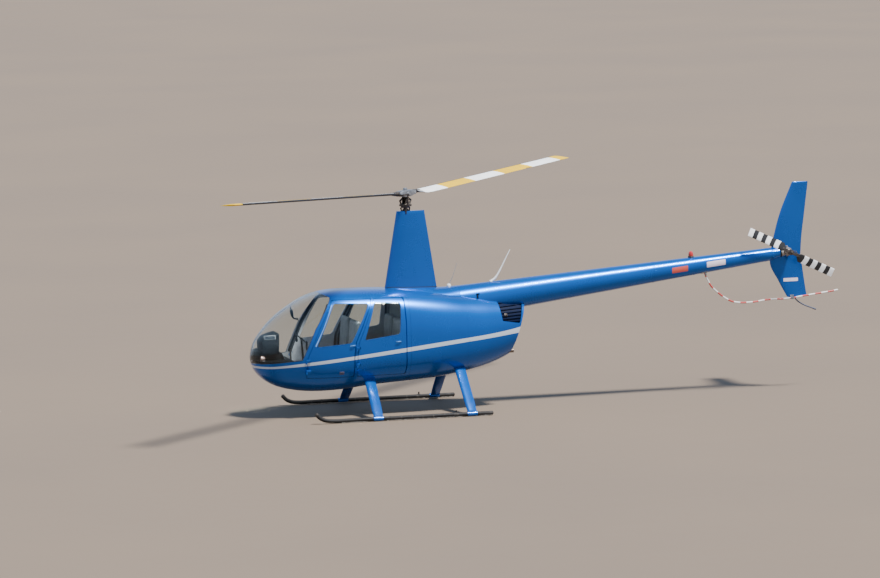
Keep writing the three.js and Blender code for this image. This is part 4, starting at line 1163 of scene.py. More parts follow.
# Door hinges: a lug on the frame, and on the door a barrel with its leaf and foot
# x, y, heights, reach aft, depth inboard
HINGES = {
    "front": (-1.672, 0.592, (0.7, 0.85), 0.062, 0.078),
    "rear": (-0.93, 0.664, (0.77, 1.01), 0.052, 0.08),
}
HINGE_TALL = 0.034
for row, (x, y, heights, reach, deep) in HINGES.items():
    knuckles, lugs = [], []
    for z in heights:
        low, high = z + FIT, z + FIT + HINGE_TALL
        foot = block("foot", x + reach - 0.016, x + reach, y - deep, y + 0.004, low, high, 0.0015)
        knuckles.append(cut_by(foot, inner))
        knuckles.append(block("leaf", x, x + reach - 0.002, y - 0.005, y + 0.004, low, high, 0.0015))
        barrel = broken_edges(0.009, HINGE_TALL, 0.002, 0.0012)
        knuckles.append(lathe("barrel", (x, y, low), UP, barrel, 24))
        lug = block("lug", x - 0.012, x + 0.009, y - deep, y + 0.004, z - HINGE_TALL, z, 0.0015)
        lugs.append(cut_by(lug, inner, all_openings))
    leaves = join("knuckles", *knuckles)
    hand_over_pair(leaves, f"hinge_leaf_{row}_{{}}", blue_paint, "body_blue", body=f"{row}_{{}}_door")
    hand_over_pair(join("lugs", *lugs), f"hinge_lug_{row}_{{}}", blue_paint, "body_blue")


# Door handles, and the small vent low on the front door
def door_handle():
    lever = [(0.026, 0.012, 0.0), (0.01, 0.018, 0.0), (-0.016, 0.0185, -0.001), (-0.04, 0.018, -0.003)]
    return join(
        "handle",
        block("plate", -0.044, 0.042, -0.004, 0.002, -0.014, 0.014, 0.0015),
        lathe("boss", (0.026, 0.001, 0), ACROSS, [(0, 0.012), (0.007, 0.012), (0.012, 0.009)], 24),
        tube("lever", lever, [0.007, 0.0065, 0.006, 0.0055], 16),
        lathe("lock", (-0.034, 0.001, 0.007), ACROSS, [(0, 0.005), (0.003, 0.005), (0.004, 0.003)], 16),
    )


for row, x, z in (("front", -0.99, 1.062), ("rear", -0.3, 1.09)):
    handle = move(door_handle(), skin_frame(x, z))
    hand_over_pair(handle, f"door_handle_{row}_{{}}", handle_blue, "case_grey", body=f"{row}_{{}}_door")
vent = [block("vent_frame", -0.036, 0.036, -0.004, 0.0025, -0.024, 0.024, 0.002)]
for k in range(4):
    z = -0.0195 + 0.011 * k
    vent.append(block("vent_slat", -0.03, 0.03, 0.002, 0.005, z, z + 0.006, 0.001))
vent_piece = move(join("vent", *vent), skin_frame(-1.148, 0.66))
hand_over_pair(vent_piece, "door_vent_{}", vent_plum, "trim_dark", body="front_{}_door")

# Cowls
for name, side in SIDES.items():
    cowl = twin(shell, f"cowl_engine_{name}")
    zone = block("zone", FIREWALL_X + 0.002, COWL_SEAM_X, side * 0.0008, side * FAR, 0, FAR)
    keep_within(cowl, zone)
    cut_by(cowl, boom_room, mast_room)
    hand_over_shell(cowl, f"engine_cowl_{name}")
LOUVRE = [(1.296, 1.64), (1.342, 1.29), (1.622, 1.24), (1.672, 1.42), (1.74, 1.64)]
EXHAUST = {"x0": 0.86, "x1": 1.555, "y": -0.205, "z": 0.822, "r": 0.03}


def exhaust_at(x):
    return (x, EXHAUST["y"], EXHAUST["z"])


tail_cowl = keep_within(
    twin(shell, "cowl_tail"), block("zone", COWL_SEAM_X + 0.002, FAR, -FAR, FAR, 0, FAR)
)
for side in SIDES.values():
    carve(tail_cowl, side_prism("louvre_hole", side, rounded(LOUVRE, 0.02)))
cut_by(tail_cowl, boom_room)
carve(tail_cowl, rod(
    "exhaust_room", exhaust_at(EXHAUST["x0"]), exhaust_at(EXHAUST["x1"]), EXHAUST["r"] + 0.006, sides=48
))
hand_over_shell(tail_cowl, "tail_cowl")


# A lap strip over the seam of the cowls
lap_x = [COWL_SEAM_X - 0.016, COWL_SEAM_X + 0.001, COWL_SEAM_X + 0.018]
lap_rings = body_rings(np.array(lap_x), 96)
lap_out = skin_normals(lap_rings.reshape(-1, 3)).reshape(lap_rings.shape)
lap = carve(
    loft("cowl_lap", lap_rings + lap_out * 0.0009),
    loft("lap_inside", (lap_rings - lap_out * 0.003) * (1.001, 1, 1)),
)
hand_over(cut_by(lap, boom_room), hull_paint, "body_blue")


def rear_skin(name, depth):
    return keep_within(body_solid(name, depth, 90, 96), rear_cut(depth))


back_skin = carve(rear_skin("back_skin", 0.02), rear_skin("back_inner", 0.026))
slat_skin = carve(rear_skin("slat_skin", 0.003), rear_skin("slat_inner", 0.025))
SLAT = {"pitch": 0.042, "first": 1.27, "last": 1.6, "lean": 0.022}
for name, side in SIDES.items():
    zone = side_prism("zone", side, grown(rounded(LOUVRE, 0.02), -0.001))
    parts = [keep_within(twin(back_skin, "louvre_back"), zone, keep=True)]
    z = SLAT["first"]
    while z < SLAT["last"]:
        # Each slat slopes down and outward
        rings = []
        for x in (1.2, 1.8):
            low, high = z, z + SLAT["lean"]
            rings.append([
                (x, side * 0.2, high), (x, side * 0.52, low - 0.012),
                (x, side * 0.52, low - 0.008), (x, side * 0.2, high + 0.004),
            ])
        slat = keep_within(twin(slat_skin, "slat"), loft("slat_zone", rings))
        keep_within(slat, zone, keep=True)
        if len(slat.data.polygons):
            parts.append(slat)
        else:
            remove(slat)
        z += SLAT["pitch"]
    remove(zone)
    panel = join(f"louvres_{name}", *parts)
    cut_by(panel, boom_room)
    hand_over(panel, louvre_navy, "trim_dark", f"louvre_panel_{name}")
remove(back_skin, slat_skin, mast_room, windshield_zone, all_openings, shell, pane_skin)

# Roof cowl: the low hump from the mast fairing back to the boom
# x, middle z, half width, half height
HUMP = np.array([
    [-0.36, 1.69, 0.15, 0.1], [-0.3, 1.684, 0.225, 0.142], [-0.15, 1.658, 0.27, 0.177],
    [0.1, 1.625, 0.292, 0.195], [0.45, 1.59, 0.288, 0.205], [0.759, 1.554, 0.247, 0.247],
])


def hump_solid(name, more=0.0):
    xs = np.concatenate([np.linspace(-0.36, -0.15, 16), np.linspace(-0.13, 0.759, 30)])
    columns = [fair_curve(HUMP[:, 0], HUMP[:, k], xs) for k in (1, 2, 3)]
    angle = turns(80)
    return loft(name, [
        np.stack([angle * 0 + x, (half + more) * np.cos(angle), z + (tall + more) * np.sin(angle)], 1)
        for x, z, half, tall in zip(xs, *columns)
    ])


roof_skin = body_solid("roof_skin", -FIT, 120, 96)
roof_cowl = keep_within(hump_solid("cowl_roof"), block("zone", -FAR, FAR, -FAR, FAR, 1.56, FAR))
cut_by(roof_cowl, roof_skin, boom_room)
hand_over(roof_cowl, blue_paint, "body_blue", "roof_cowl")

# Mast fairing: rows are z, leading edge, trailing edge, thickness share
FAIRING = np.array([
    [1.7, -0.354, 0.467, 0.27], [1.83, -0.335, 0.447, 0.27], [2.94, -0.139, 0.281, 0.3],
])


def fairing_rings(zs, more=0.0):
    rings = []
    for z in zs:
        x0, x1, wide = (np.interp(z, FAIRING[:, 0], FAIRING[:, k]) for k in (1, 2, 3))
        t, s = wing_section(wide, 28).T
        chord = x1 - x0
        rings.append(np.stack([
            x0 - more + t * (chord + 2 * more), s * chord + np.sign(s) * more, t * 0 + z
        ], 1))
    return rings


fairing = loft("fairing_mast", fairing_rings(np.linspace(1.7, 2.936, 30)) + [
    ring * np.array([0.985, 0.97, 1]) + np.array([0.001, 0, 0]) for ring in fairing_rings([2.94])
])
hump_room = hump_solid("hump_room", FIT)
cut_by(fairing, hump_room, roof_skin)
carve(fairing, rod("tube_room", (0, 0, 1.2), (0, 0, 3.0), 0.04, sides=48))
hand_over(fairing, blue_paint, "body_blue", "mast_fairing")

# Access plates on the fairing's sides
plates = carve(
    loft("fairing_plates", fairing_rings([1.96, 2.06, 2.16], 0.0012)),
    loft("plate_inside", fairing_rings([1.9, 2.2], -0.002)),
)
plate_line = [(-0.1, 1.965), (0.11, 1.965), (0.11, 2.15), (-0.1, 2.15)]
keep_within(plates, prism("zone", rounded(plate_line, 0.03), -0.3, 0.3))
hand_over(plates, blue_paint, "body_blue")

# A sealing strip where the fairing meets the hump
collar = loft("fairing_seal", fairing_rings([1.7, 1.9], 0.003))
keep_within(collar, hump_solid("seal_top", 0.01))
for tool in (hump_room, roof_skin, loft("seal_bore", fairing_rings([1.6, 1.95], FIT))):
    carve(collar, tool)
hand_over(collar, rubber, "trim_dark")


# Tail boom
boom = boom_part("boom_skin", BOOM["x0"], BOOM["x1"], -0.0006, 60)
carve(boom, boom_part("bore", BOOM["x0"] - 0.03, BOOM["x1"] - 0.012, -0.012, 2, 64))
hand_over(boom, blue_paint, "body_blue", "tail_boom")
BOOM_LAPS = (1.86, 2.48, 3.12, 3.78, 4.42, 5.02, 5.56)
laps = [boom_part("lap", x - 0.016, x + 0.016, 0.0004) for x in BOOM_LAPS]
hand_over(join("boom_laps", *laps), blue_paint, "body_blue")


def scattered(name, piece, places):
    """One mesh with a copy of a small piece at each place, which is a point and a direction."""
    points = points_of(piece)
    faces = [list(face.vertices) for face in piece.data.polygons]
    all_points, all_faces = [], []
    for k, (point, out) in enumerate(places):
        turn = np.array(Vector(out).to_track_quat("Z", "Y").to_matrix())
        all_points.append(points @ turn.T + np.array(point))
        all_faces += [[v + k * len(points) for v in face] for face in faces]
    mesh = bpy.data.meshes.new(name)
    mesh.from_pydata(np.concatenate(all_points).tolist(), [], all_faces)
    obj = bpy.data.objects.new(name, mesh)
    bpy.context.collection.objects.link(obj)
    remove(piece)
    return obj


# Rivets along the boom's laps and screws along the cowl seam
places = []
for x in BOOM_LAPS:
    for step in (-0.009, 0.009):
        radius = boom_r(x + step)
        for angle in turns(28):
            out = (0, cos(angle), sin(angle))
            places.append(((x + step, radius * out[1], boom_z(x + step) + radius * out[2]), out))
for x in (COWL_SEAM_X - 0.01, COWL_SEAM_X + 0.012):
    for z in np.arange(0.62, 1.6, 0.07):
        for side in SIDES.values():
            point = on_skin([(x, z)], side)
            out = skin_normals(point)[0]
            places.append((point[0] + out * 0.0008, out))
rivet = lathe("rivet", (0, 0, -0.0004), UP, [(0, 0.0042), (0.0012, 0.004), (0.002, 0.0024)], 8)
hand_over(scattered("skin_rivets", rivet, places), blue_paint, "body_blue")

# Blank placards on the boom's port side, and a small fitting at its root
for label, x0, x1, lift, finish in (
    ("red", 4.045, 4.296, -0.003, placard_red), ("white", 4.595, 4.89, 0.004, placard_white),
):
    placard = boom_part(f"placard_{label}", x0 - 0.05, x1 + 0.05, 0.0006, 3)
    carve(placard, boom_part("inside", x0 - 0.1, x1 + 0.1, -0.0006))
    zone = [(x, boom_z(x) + lift + z) for x, z in ((x0, -0.042), (x1, -0.042), (x1, 0.042), (x0, 0.042))]
    keep_within(placard, prism("zone", rounded(zone, 0.008), -0.3, -0.02))
    hand_over(placard, finish, "antenna_white")
fitting = join(
    "boom_fitting",
    block("plate", -0.014, 0.014, -0.006, 0.004, -0.04, 0.04, 0.003),
    block("hook", -0.034, 0.014, 0.003, 0.012, 0.022, 0.038, 0.003),
    *(lathe("screw", (0, 0.003, z), ACROSS, [(0, 0.006), (0.003, 0.0055), (0.004, 0.003)], 12)
      for z in (-0.026, 0)),
)
move(fitting, face_frame((1.012, -0.229, 1.66), (0, -0.949, 0.315), (0, 0.315, 0.949)))
hand_over(fitting, louvre_navy, "trim_dark")
# A pale bracket in front of the port louvres' lower corner
bracket = join(
    "louvre_bracket",
    block("plate", -0.026, 0.026, -0.012, 0.003, -0.02, 0.02, 0.003),
    lathe("stud", (0.006, 0.002, 0), ACROSS, [(0, 0.012), (0.005, 0.012), (0.008, 0.008)], 24),
)
move(bracket, Matrix.Diagonal((1, -1, 1, 1)) @ skin_frame(1.402, 1.376))
hand_over(bracket, dark_steel, "case_grey")
remove(outer, inner, boom_room)


# Tail gearbox: mounting ring, waist and case, with bolts, ribs, filler and drain plug
TAIL_CASE = {"x0": 5.6303, "x": 5.893, "z": 2.091, "r": 0.062, "y0": -0.096, "y1": 0.034}
FIN_Y = 0.0563


def bolt_ring(centre, axis, radius, count, size, tall, start=0.0):
    """Six-sided bolts on washers round an axis."""
    axis = Vector(axis).normalized()
    turn = axis.to_track_quat("Z", "Y").to_matrix()
    parts = []
    for angle in start + turns(count):
        foot = Vector(centre) + turn @ Vector((radius * cos(angle), radius * sin(angle), 0))
        parts.append(rod("washer", foot, foot + axis * tall * 0.25, size * 1.25, sides=16))
        parts.append(rod("bolt", foot + axis * tall * 0.2, foot + axis * tall, size, sides=6))
    return parts


def tail_case_room(more):
    x0, x, z, r = (TAIL_CASE[k] for k in ("x0", "x", "z", "r"))
    waist = rod("waist", (x0 + 0.012, 0, boom_z(x0)), (x, -0.018, z), 0.088 + more, 0.051 + more, 48)
    ring = rod("ring", (x0, 0, boom_z(x0)), (x0 + 0.024, 0, boom_z(x0 + 0.024)), 0.094 + more, sides=64)
    carve(waist, ring, "UNION")
    case = rod("case", (x, TAIL_CASE["y0"], z), (x, TAIL_CASE["y1"] + more, z), r + more, sides=64)
    return carve(waist, case, "UNION")


x0, x, z, r, y0, y1 = TAIL_CASE.values()
z0 = boom_z(x0)
slope = Vector((x - x0, 0, z - z0)).normalized()
parts = [
    lathe("ring", (x0, 0, z0), slope, [
        (0, 0.09), (0.002, 0.094), (0.02, 0.094), (0.024, 0.091), (0.026, 0.086),
    ]),
    lathe("waist", (x0 + 0.02, 0, z0), Vector((x - x0 - 0.02, -0.018, z - z0)), [
        (0, 0.087), (0.03, 0.083), (0.07, 0.077), (0.128, 0.0685), (0.13, 0.0715), (0.148, 0.069),
        (0.15, 0.064), (0.19, 0.058), (0.25, 0.051),
    ]),
    lathe("case", (x, y0, z), ACROSS, [
        (0, 0.052), (0.003, 0.058), (0.012, 0.062), (0.035, 0.062), (0.038, 0.0585), (0.092, 0.0585),
        (0.095, 0.062), (0.12, 0.062), (0.127, 0.058), (0.13, 0.05),
    ]),
    lathe("nose", (x, y0 - 0.03, z), ACROSS, [
        (0, 0.028), (0.003, 0.031), (0.01, 0.034), (0.026, 0.034), (0.032, 0.042), (0.034, 0.046),
    ]),
    lathe("filler", (x - 0.01, -0.03, z + r - 0.006), UP, [
        (0, 0.016), (0.012, 0.016), (0.013, 0.02), (0.024, 0.02), (0.027, 0.017),
    ]),
    lathe("drain", (x, -0.03, z - r + 0.006), (0, 0, -1), [(0, 0.013), (0.012, 0.013), (0.018, 0.01)]),
    *bolt_ring((x0 + 0.024, 0, z0), slope, 0.0885, 12, 0.0045, 0.008, 0.4),
    *bolt_ring((x, y0, z), (0, -1, 0), 0.05, 8, 0.004, 0.006, 0.2),
]
for angle in turns(8):
    rib = block("rib", -0.004, 0.004, y0 + 0.03, y1 - 0.03, 0.0575, 0.0625, 0.001)
    parts.append(move(rib, Matrix.Translation((x, 0, z)) @ Matrix.Rotation(angle, 4, "Y")))
gearbox = join("gearbox_tail", *parts)
# The ring and the neck behind it are in body colour, with a dark clamp at the neck's end
hand_over(gearbox, [brown_case, blue_paint, trim], "case_grey", "tail_gearbox")
PAINTED_TO = 5.773 + AXIS_X
CLAMP_HALF = 0.012
paint_faces(gearbox, lambda centres, normals: centres[:, 0] < PAINTED_TO, 1)
paint_faces(gearbox, lambda centres, normals: abs(centres[:, 0] - PAINTED_TO - CLAMP_HALF) < CLAMP_HALF, 2)


# Fins and stabilizer: rows are height, leading edge, trailing edge, thickness
UPPER_FIN = np.array([
    [2.032, 5.646, 6.13, 0.044], [2.266, 5.697, 6.146, 0.042],
    [2.624, 5.796, 6.192, 0.036], [3.128, 6.007, 6.258, 0.026],
])
LOWER_FIN = np.array([
    [1.388, 5.918, 6.226, 0.024], [1.628, 5.786, 6.188, 0.032],
    [1.937, 5.646, 6.144, 0.042], [2.0317, 5.646, 6.13, 0.044],
])
# How a tip closes: distance from the end, and the shares of chord and thickness left
TIP = [
    (0.016, 1.0, 1.0), (0.009, 0.985, 0.92), (0.004, 0.955, 0.74), (0.001, 0.915, 0.46),
    (0.0, 0.88, 0.2),
]


def fin(name, table, tip_low, tip_high):
    ends = [(table[0, 0] + d, c, w) for d, c, w in TIP[::-1]] if tip_low else [(table[0, 0], 1, 1)]
    zs = np.linspace(table[0, 0] + 0.02 * tip_low, table[-1, 0] - 0.02 * tip_high, 26)
    rows = ends + [(z, 1, 1) for z in zs[not tip_low:len(zs) - (not tip_high)]]
    rows += [(table[-1, 0] - d, c, w) for d, c, w in TIP] if tip_high else [(table[-1, 0], 1, 1)]
    rings = []
    for z, chord_share, wide_share in rows:
        x0, x1, wide = (float(fair_curve(table[:, 0], table[:, k], np.array([z]))[0]) for k in (1, 2, 3))
        chord = (x1 - x0) * chord_share
        t, s = wing_section(wide * wide_share / chord).T
        middle = x0 + (x1 - x0) * 0.55
        rings.append(np.stack([middle + (t - 0.55) * chord, FIN_Y + s * chord, t * 0 + z], 1))
    return loft(name, rings)


case_room = tail_case_room(0.0008)
for name, table, low, high in (("upper", UPPER_FIN, False, True), ("lower", LOWER_FIN, True, False)):
    piece = cut_by(fin(f"fin_{name}", table, low, high), case_room)
    hand_over(piece, blue_paint, "body_blue", f"{name}_fin")
remove(case_room)
# A blank plate on the lower fin's port face
plate = fin("fin_plate", LOWER_FIN + np.array([0, 0, 0, 0.0032]), False, False)
keep_within(plate, block("zone", 5.853, 6.085, FIN_Y - 0.03, FIN_Y - 0.004, 1.628, 1.678, 0.004))
hand_over(plate, placard_white, "antenna_white")

STABILIZER = {
    "z": 1.985, "x0": 5.7, "chord": 0.33, "y0": FIN_Y + 0.012, "y1": FIN_Y + 0.85, "wide": 0.04,
}
height, start, full, y0, y1, wide = STABILIZER.values()
spans = [(y, 1.0, 1.0) for y in np.linspace(y0, y1 - 0.04, 12)]
spans += [(y1 - 1.6 * d, 0.7 + 0.3 * c, w) for d, c, w in TIP]
rings = []
for y, chord_share, wide_share in spans:
    chord = full * chord_share
    t, s = wing_section(wide * wide_share / chord).T
    x = start + full * 0.5 + (t - 0.5) * chord
    rings.append(np.stack([x, t * 0 + y, height + s * chord], 1))
stabilizer = loft("stabilizer_skin", rings)
carve(stabilizer, fin("fin_room", LOWER_FIN + np.array([0, 0, 0, 0.0006]), False, False))
hand_over(stabilizer, blue_paint, "body_blue", "stabilizer")
brackets = []
for x in (5.762, 5.945):
    for z in (height + 0.02, height - 0.024):
        brackets.append(block(
            "angle", x - 0.022, x + 0.022, FIN_Y + 0.018, FIN_Y + 0.062, z, z + 0.004, 0.001
        ))
        for k in (-1, 1):
            foot = (x + k * 0.012, FIN_Y + 0.045, z + 0.004)
            brackets.append(rod("head", foot, (foot[0], foot[1], foot[2] + 0.004), 0.005, 0.003, 12))
hand_over(join("stabilizer_angles", *brackets), alloy, "case_grey")

# Tail rotor guard and tail skid
GUARD_Y = FIN_Y - 0.029
GUARD = [
    (4.576, -0.05, 1.836), (4.59, -0.05, 1.8), (4.634, -0.05, 1.706), (4.684, -0.048, 1.62),
    (4.768, -0.044, 1.538), (4.87, -0.038, 1.455), (5.01, -0.032, 1.376), (5.11, -0.028, 1.354),
    (5.215, -0.021, 1.346), (5.4, 0.003, 1.35), (5.583, GUARD_Y, 1.368),
    (5.948, GUARD_Y, 1.374), (6.17, GUARD_Y, 1.401), (6.633, GUARD_Y, 1.456), (6.707, GUARD_Y, 1.4675),
]
guard = tube("guard_tube", smooth_path(GUARD, 8), 0.0125, 20)
hand_over(guard, guard_bands, "guard_bands", "tail_guard")
clamp = [
    block("strap", 5.962, 6.012, GUARD_Y - 0.0165, GUARD_Y + 0.0165, 1.3595, 1.396, 0.003),
    block("pad", 5.958, 6.016, GUARD_Y + 0.014, FIN_Y - 0.013, 1.362, 1.424, 0.002),
    *bolt_ring((5.987, GUARD_Y + 0.0145, 1.408), (0, -1, 0), 0.016, 2, 0.005, 0.008),
]
saddle = boom_part("boom_saddle", 4.53, 4.622, 0.004, 4)
clamp.append(keep_within(saddle, block("zone", 4.53, 4.622, -0.082, -0.018, 1.79, 1.86, 0.004)))
clamp.append(rod("socket", (4.586, -0.05, 1.834), (4.598, -0.05, 1.786), 0.0165, sides=24, edge=0.001))
hand_over(join("guard_clamps", *clamp), alloy, "case_grey")
tail_skid_path = smooth_path([
    (6.044, FIN_Y, 1.394), (6.05, FIN_Y, 1.356), (6.147, FIN_Y, 1.278), (6.369, FIN_Y, 1.184),
], 10)
tail_skid = join(
    "skid_tail", tube("bow", tail_skid_path, 0.0105, 16),
    lathe("shoe", (6.318, FIN_Y, 1.2055), (0.92, 0, -0.39), broken_edges(0.0135, 0.048, 0.003, 0.0025)),
)
hand_over(tail_skid, tail_skid_grey, "skid_dark", "tail_skid")


# Tail rotor, made flat about the origin and then turned and moved to its axis
TAIL_TURN = Matrix.Translation(TAIL_AXIS) @ Matrix.Rotation(radians(25.2), 4, "Y")
TAIL_PITCH = radians(8)
SHAFT_END = TAIL_CASE["y0"] - 0.0303 - TAIL_AXIS[1]


def tail_blade(sign):
    rows = [(0.108, 0.056, 0.02), (0.128, 0.085, 0.02), (0.15, 0.126, 0.017), (0.175, 0.13, 0.0155)]
    rows += [(r, 0.13, 0.0145) for r in np.linspace(0.22, 0.715, 10)]
    rows += [(0.728, 0.128, 0.011), (0.734, 0.122, 0.007), (TAIL_RADIUS, 0.114, 0.003)]
    rings = []
    for r, chord, wide in rows:
        t, s = wing_section(wide / chord, 16).T
        c = (0.3 - t) * 0.13 * sign if chord > 0.12 else (0.3 - t) * chord * sign
        y = s * chord
        rings.append(np.stack([
            t * 0 + sign * r,
            y * cos(TAIL_PITCH) - c * sign * sin(TAIL_PITCH),
            c * cos(TAIL_PITCH) + y * sign * sin(TAIL_PITCH),
        ], 1))
    return loft("tail_blade", rings)


blades = move(join("tail_blades", tail_blade(1), tail_blade(-1)), TAIL_TURN)
hand_over(blades, tail_bands, "tail_blade_bands", "tail_rotor", body="tail_rotor_set")
head = [
    lathe("shaft", (0, -0.034, 0), ACROSS, [
        (0, 0.012), (0.004, 0.019), (SHAFT_END + 0.034 - 0.002, 0.019), (SHAFT_END + 0.034, 0.017),
    ]),
    lathe("hub", (0, -0.026, 0), ACROSS, [
        (0, 0.032), (0.003, 0.04), (0.01, 0.042), (0.042, 0.042), (0.049, 0.04), (0.052, 0.034),
    ]),
    lathe("nut", (0, -0.046, 0), ACROSS, [(0, 0.01), (0.003, 0.015), (0.016, 0.015)], 6),
    block("yoke_front", -0.128, 0.128, -0.015, -0.009, -0.024, 0.024, 0.002),
    block("yoke_back", -0.128, 0.128, 0.009, 0.015, -0.024, 0.024, 0.002),
    lathe("slider", (0, 0.04, 0), ACROSS, broken_edges(0.03, 0.019, 0.003, 0.004)),
]
for sign in (-1, 1):
    head.append(block("root", sign * 0.07, sign * 0.15, -0.009, 0.009, -0.022, 0.022, 0.003))
    head += bolt_ring((sign * 0.102, -0.015, 0), (0, -1, 0), 0.018, 2, 0.005, 0.007, pi / 2)
    horn = [(sign * 0.1, 0.018, sign * 0.026), (sign * 0.072, 0.03, sign * 0.046)]
    head.append(tube("horn", horn, 0.0055, 12))
    head.append(tube("link", [horn[1], (sign * 0.024, 0.05, sign * 0.03)], 0.0042, 12))
head_piece = move(join("tail_rotor_head", *head), TAIL_TURN)
hand_over(head_piece, dark_steel, "steel_bare", body="tail_rotor_set")

# Main rotor. Its pieces are made along x and turned about the mast.
HEAD_TURN = Matrix.Rotation(ROTOR_TURN, 4, "Z")
TEETER_Z = 3.18
BLADE_Z = TEETER_Z + 0.0137
SWASH_Z = 3.01


def rod_end(place, axis, size):
    """A rod's eye on its pin."""
    place = Vector(place)
    half = Vector(axis).normalized() * size * 0.9
    eye = lathe("eye", place - half / 2, axis, broken_edges(size, size * 0.9, size * 0.12, size * 0.2), 24)
    return [eye, rod("pin", place - half, place + half, size * 0.42, sides=12)]


mast_parts = [
    lathe("shaft", (0, 0, 2.9553), UP, [
        (0, 0.044), (0.014, 0.044), (0.017, 0.034), (0.022, 0.024), (0.196, 0.024), (0.198, 0.02),
    ]),
    lathe("swash_low", (0, 0, SWASH_Z - 0.026), UP, [
        (0, 0.052), (0.003, 0.06), (0.024, 0.074), (0.026, 0.088), (0.028, 0.092), (0.037, 0.092),
        (0.038, 0.084),
    ]),
    lathe("swash_high", (0, 0, SWASH_Z + 0.0125), UP, [
        (0, 0.084), (0.001, 0.092), (0.011, 0.092), (0.0135, 0.088), (0.015, 0.06), (0.034, 0.046),
        (0.036, 0.04),
    ]),
    lathe("boot", (0, 0, 3.046), UP, [
        (k * 0.006, 0.056 if k % 2 else 0.047) for k in range(15)
    ]),
]
for sign in (-1, 1):
    low = Vector((sign * 0.048, sign * 0.064, SWASH_Z + 0.02))
    high = Vector((sign * 0.102, sign * 0.101, BLADE_Z - 0.019))
    way = (high - low).normalized()
    mast_parts.append(tube("link", [low, high], 0.009, 16))
    mast_parts.append(rod("barrel", low + way * 0.045, high - way * 0.045, 0.014, sides=6, edge=0.001))
    mast_parts += rod_end(low, (0, 1, 0), 0.015)
    mast_parts += rod_end(high, (1, 0, 0), 0.014)
    mast_parts.append(block(
        "ear", sign * 0.03, sign * 0.066, sign * 0.05, sign * 0.092,
        SWASH_Z + 0.01, SWASH_Z + 0.036, 0.004,
    ))
    # Scissors that turn the swashplate with the mast
    knee = Vector((-sign * 0.112, sign * 0.03, 3.092))
    ankle = Vector((-sign * 0.076, sign * 0.026, SWASH_Z + 0.024))
    hip = Vector((-sign * 0.034, sign * 0.018, 3.138))
    for start, end in ((ankle, knee), (knee, hip)):
        mast_parts.append(tube("scissor", [start, end], [0.015, 0.012], 12))
    mast_parts += rod_end(knee, (0, 1, 0), 0.014)
    mast_parts += rod_end(ankle, (0, 1, 0), 0.013)
mast_parts.append(lathe("scissor_hub", (0, 0, 3.122), UP, [
    (0, 0.03), (0.003, 0.036), (0.024, 0.036), (0.026, 0.03),
]))
mast = move(join("mast_head", *mast_parts), HEAD_TURN)
hand_over(mast, dark_steel, "steel_bare", "rotor_mast", body="main_rotor")

# Control rods from the fairing up to the fixed half of the swashplate
controls = []
for angle in (20, 140, 262):
    way = Vector((cos(radians(angle)), sin(radians(angle)), 0))
    top = Vector((0, 0, SWASH_Z - 0.034)) + way * 0.074
    controls.append(tube("push_rod", [Vector((0, 0, 2.9)) + way * 0.062, top], 0.011, 12))
    controls += rod_end(top, way, 0.013)
tube_cap = lathe("tube_cap", (0, 0, 2.88), UP, [
    (0, 0.0375), (0.058, 0.0375), (0.062, 0.05), (0.068, 0.052), (0.072, 0.048),
])
hand_over(join("mast_tube_cap", tube_cap, *controls), dark_steel, "steel_bare")

HUB_Z0 = TEETER_Z - 0.0297
HUB_Z1 = TEETER_Z + 0.062
hub_line = [
    (-0.235, HUB_Z0 + 0.032), (-0.235, HUB_Z1 - 0.016), (-0.15, HUB_Z1), (0.15, HUB_Z1),
    (0.235, HUB_Z1 - 0.016), (0.235, HUB_Z0 + 0.032), (0.09, HUB_Z0), (-0.09, HUB_Z0),
]
hub = bevel(prism("hub", rounded(hub_line, 0.012, 3), -0.058, 0.058), 0.005, 3)
# Slots in the bar's ends, where the blade roots are bolted
for sign in (-1, 1):
    room = (sign * 0.168, sign * 0.3, -0.037, 0.037, HUB_Z0 - 0.01, HUB_Z1 + 0.01)
    carve(hub, block("slot", *room, 0.004))
hub_parts = [hub]
for sign in (-1, 1):
    boss = [(0, 0.034), (0.01, 0.034), (0.013, 0.03)]
    nut = [(0, 0.02), (0.014, 0.02), (0.018, 0.014)]
    hub_parts += [
        lathe("teeter_boss", (0, sign * 0.054, TEETER_Z + 0.008), (0, sign, 0), boss),
        lathe("teeter_nut", (0, sign * 0.066, TEETER_Z + 0.008), (0, sign, 0), nut, 6),
    ]
    for way in (-1, 1):
        start = (sign * 0.205, way * 0.056, TEETER_Z + 0.014)
        nut = [(0, 0.017), (0.01, 0.017), (0.013, 0.011)]
        hub_parts.append(lathe("coning_nut", start, (0, way, 0), nut, 6))
        hub_parts.append(lathe("washer", start, (0, way, 0), [(0, 0.022), (0.003, 0.022)], 24))
hub_parts.append(lathe("cap", (0, 0, HUB_Z1 - 0.004), UP, [
    (0, 0.046), (0.006, 0.046), (0.009, 0.032), (0.03, 0.03), (0.038, 0.026), (0.042, 0.014),
]))
hub_piece = move(join("hub_bar", *hub_parts), HEAD_TURN)
hand_over(hub_piece, alloy, "case_grey", "rotor_hub", body="main_rotor")

# Blade table: radius, chord, thickness, share of the root pitch
BLADE = np.array([
    [0.33, 0.09, 0.04, 1.0], [0.4, 0.241, 0.034, 1.0], [0.52, 0.262, 0.031, 1.0],
    [2.7, 0.262, 0.031, 0.85], [4.97, 0.262, 0.029, 0.7], [5.03, 0.246, 0.012, 0.7],
])
ROOT_PITCH = radians(6.5)
# Ahead of this line along the blade its top gets the dark underside finish too: painted shade where the
# leading edge falls in shadow
LEADING_DARK = 0.03
# The pitch horn: reach along the blade, distance ahead of it, half width and half height
HORN = {"r0": 0.092, "r1": 0.276, "y": 0.101, "half": 0.009, "tall": 0.011}
BOLT_HEAD = [(0, 0.009), (0.01, 0.009), (0.012, 0.006)]


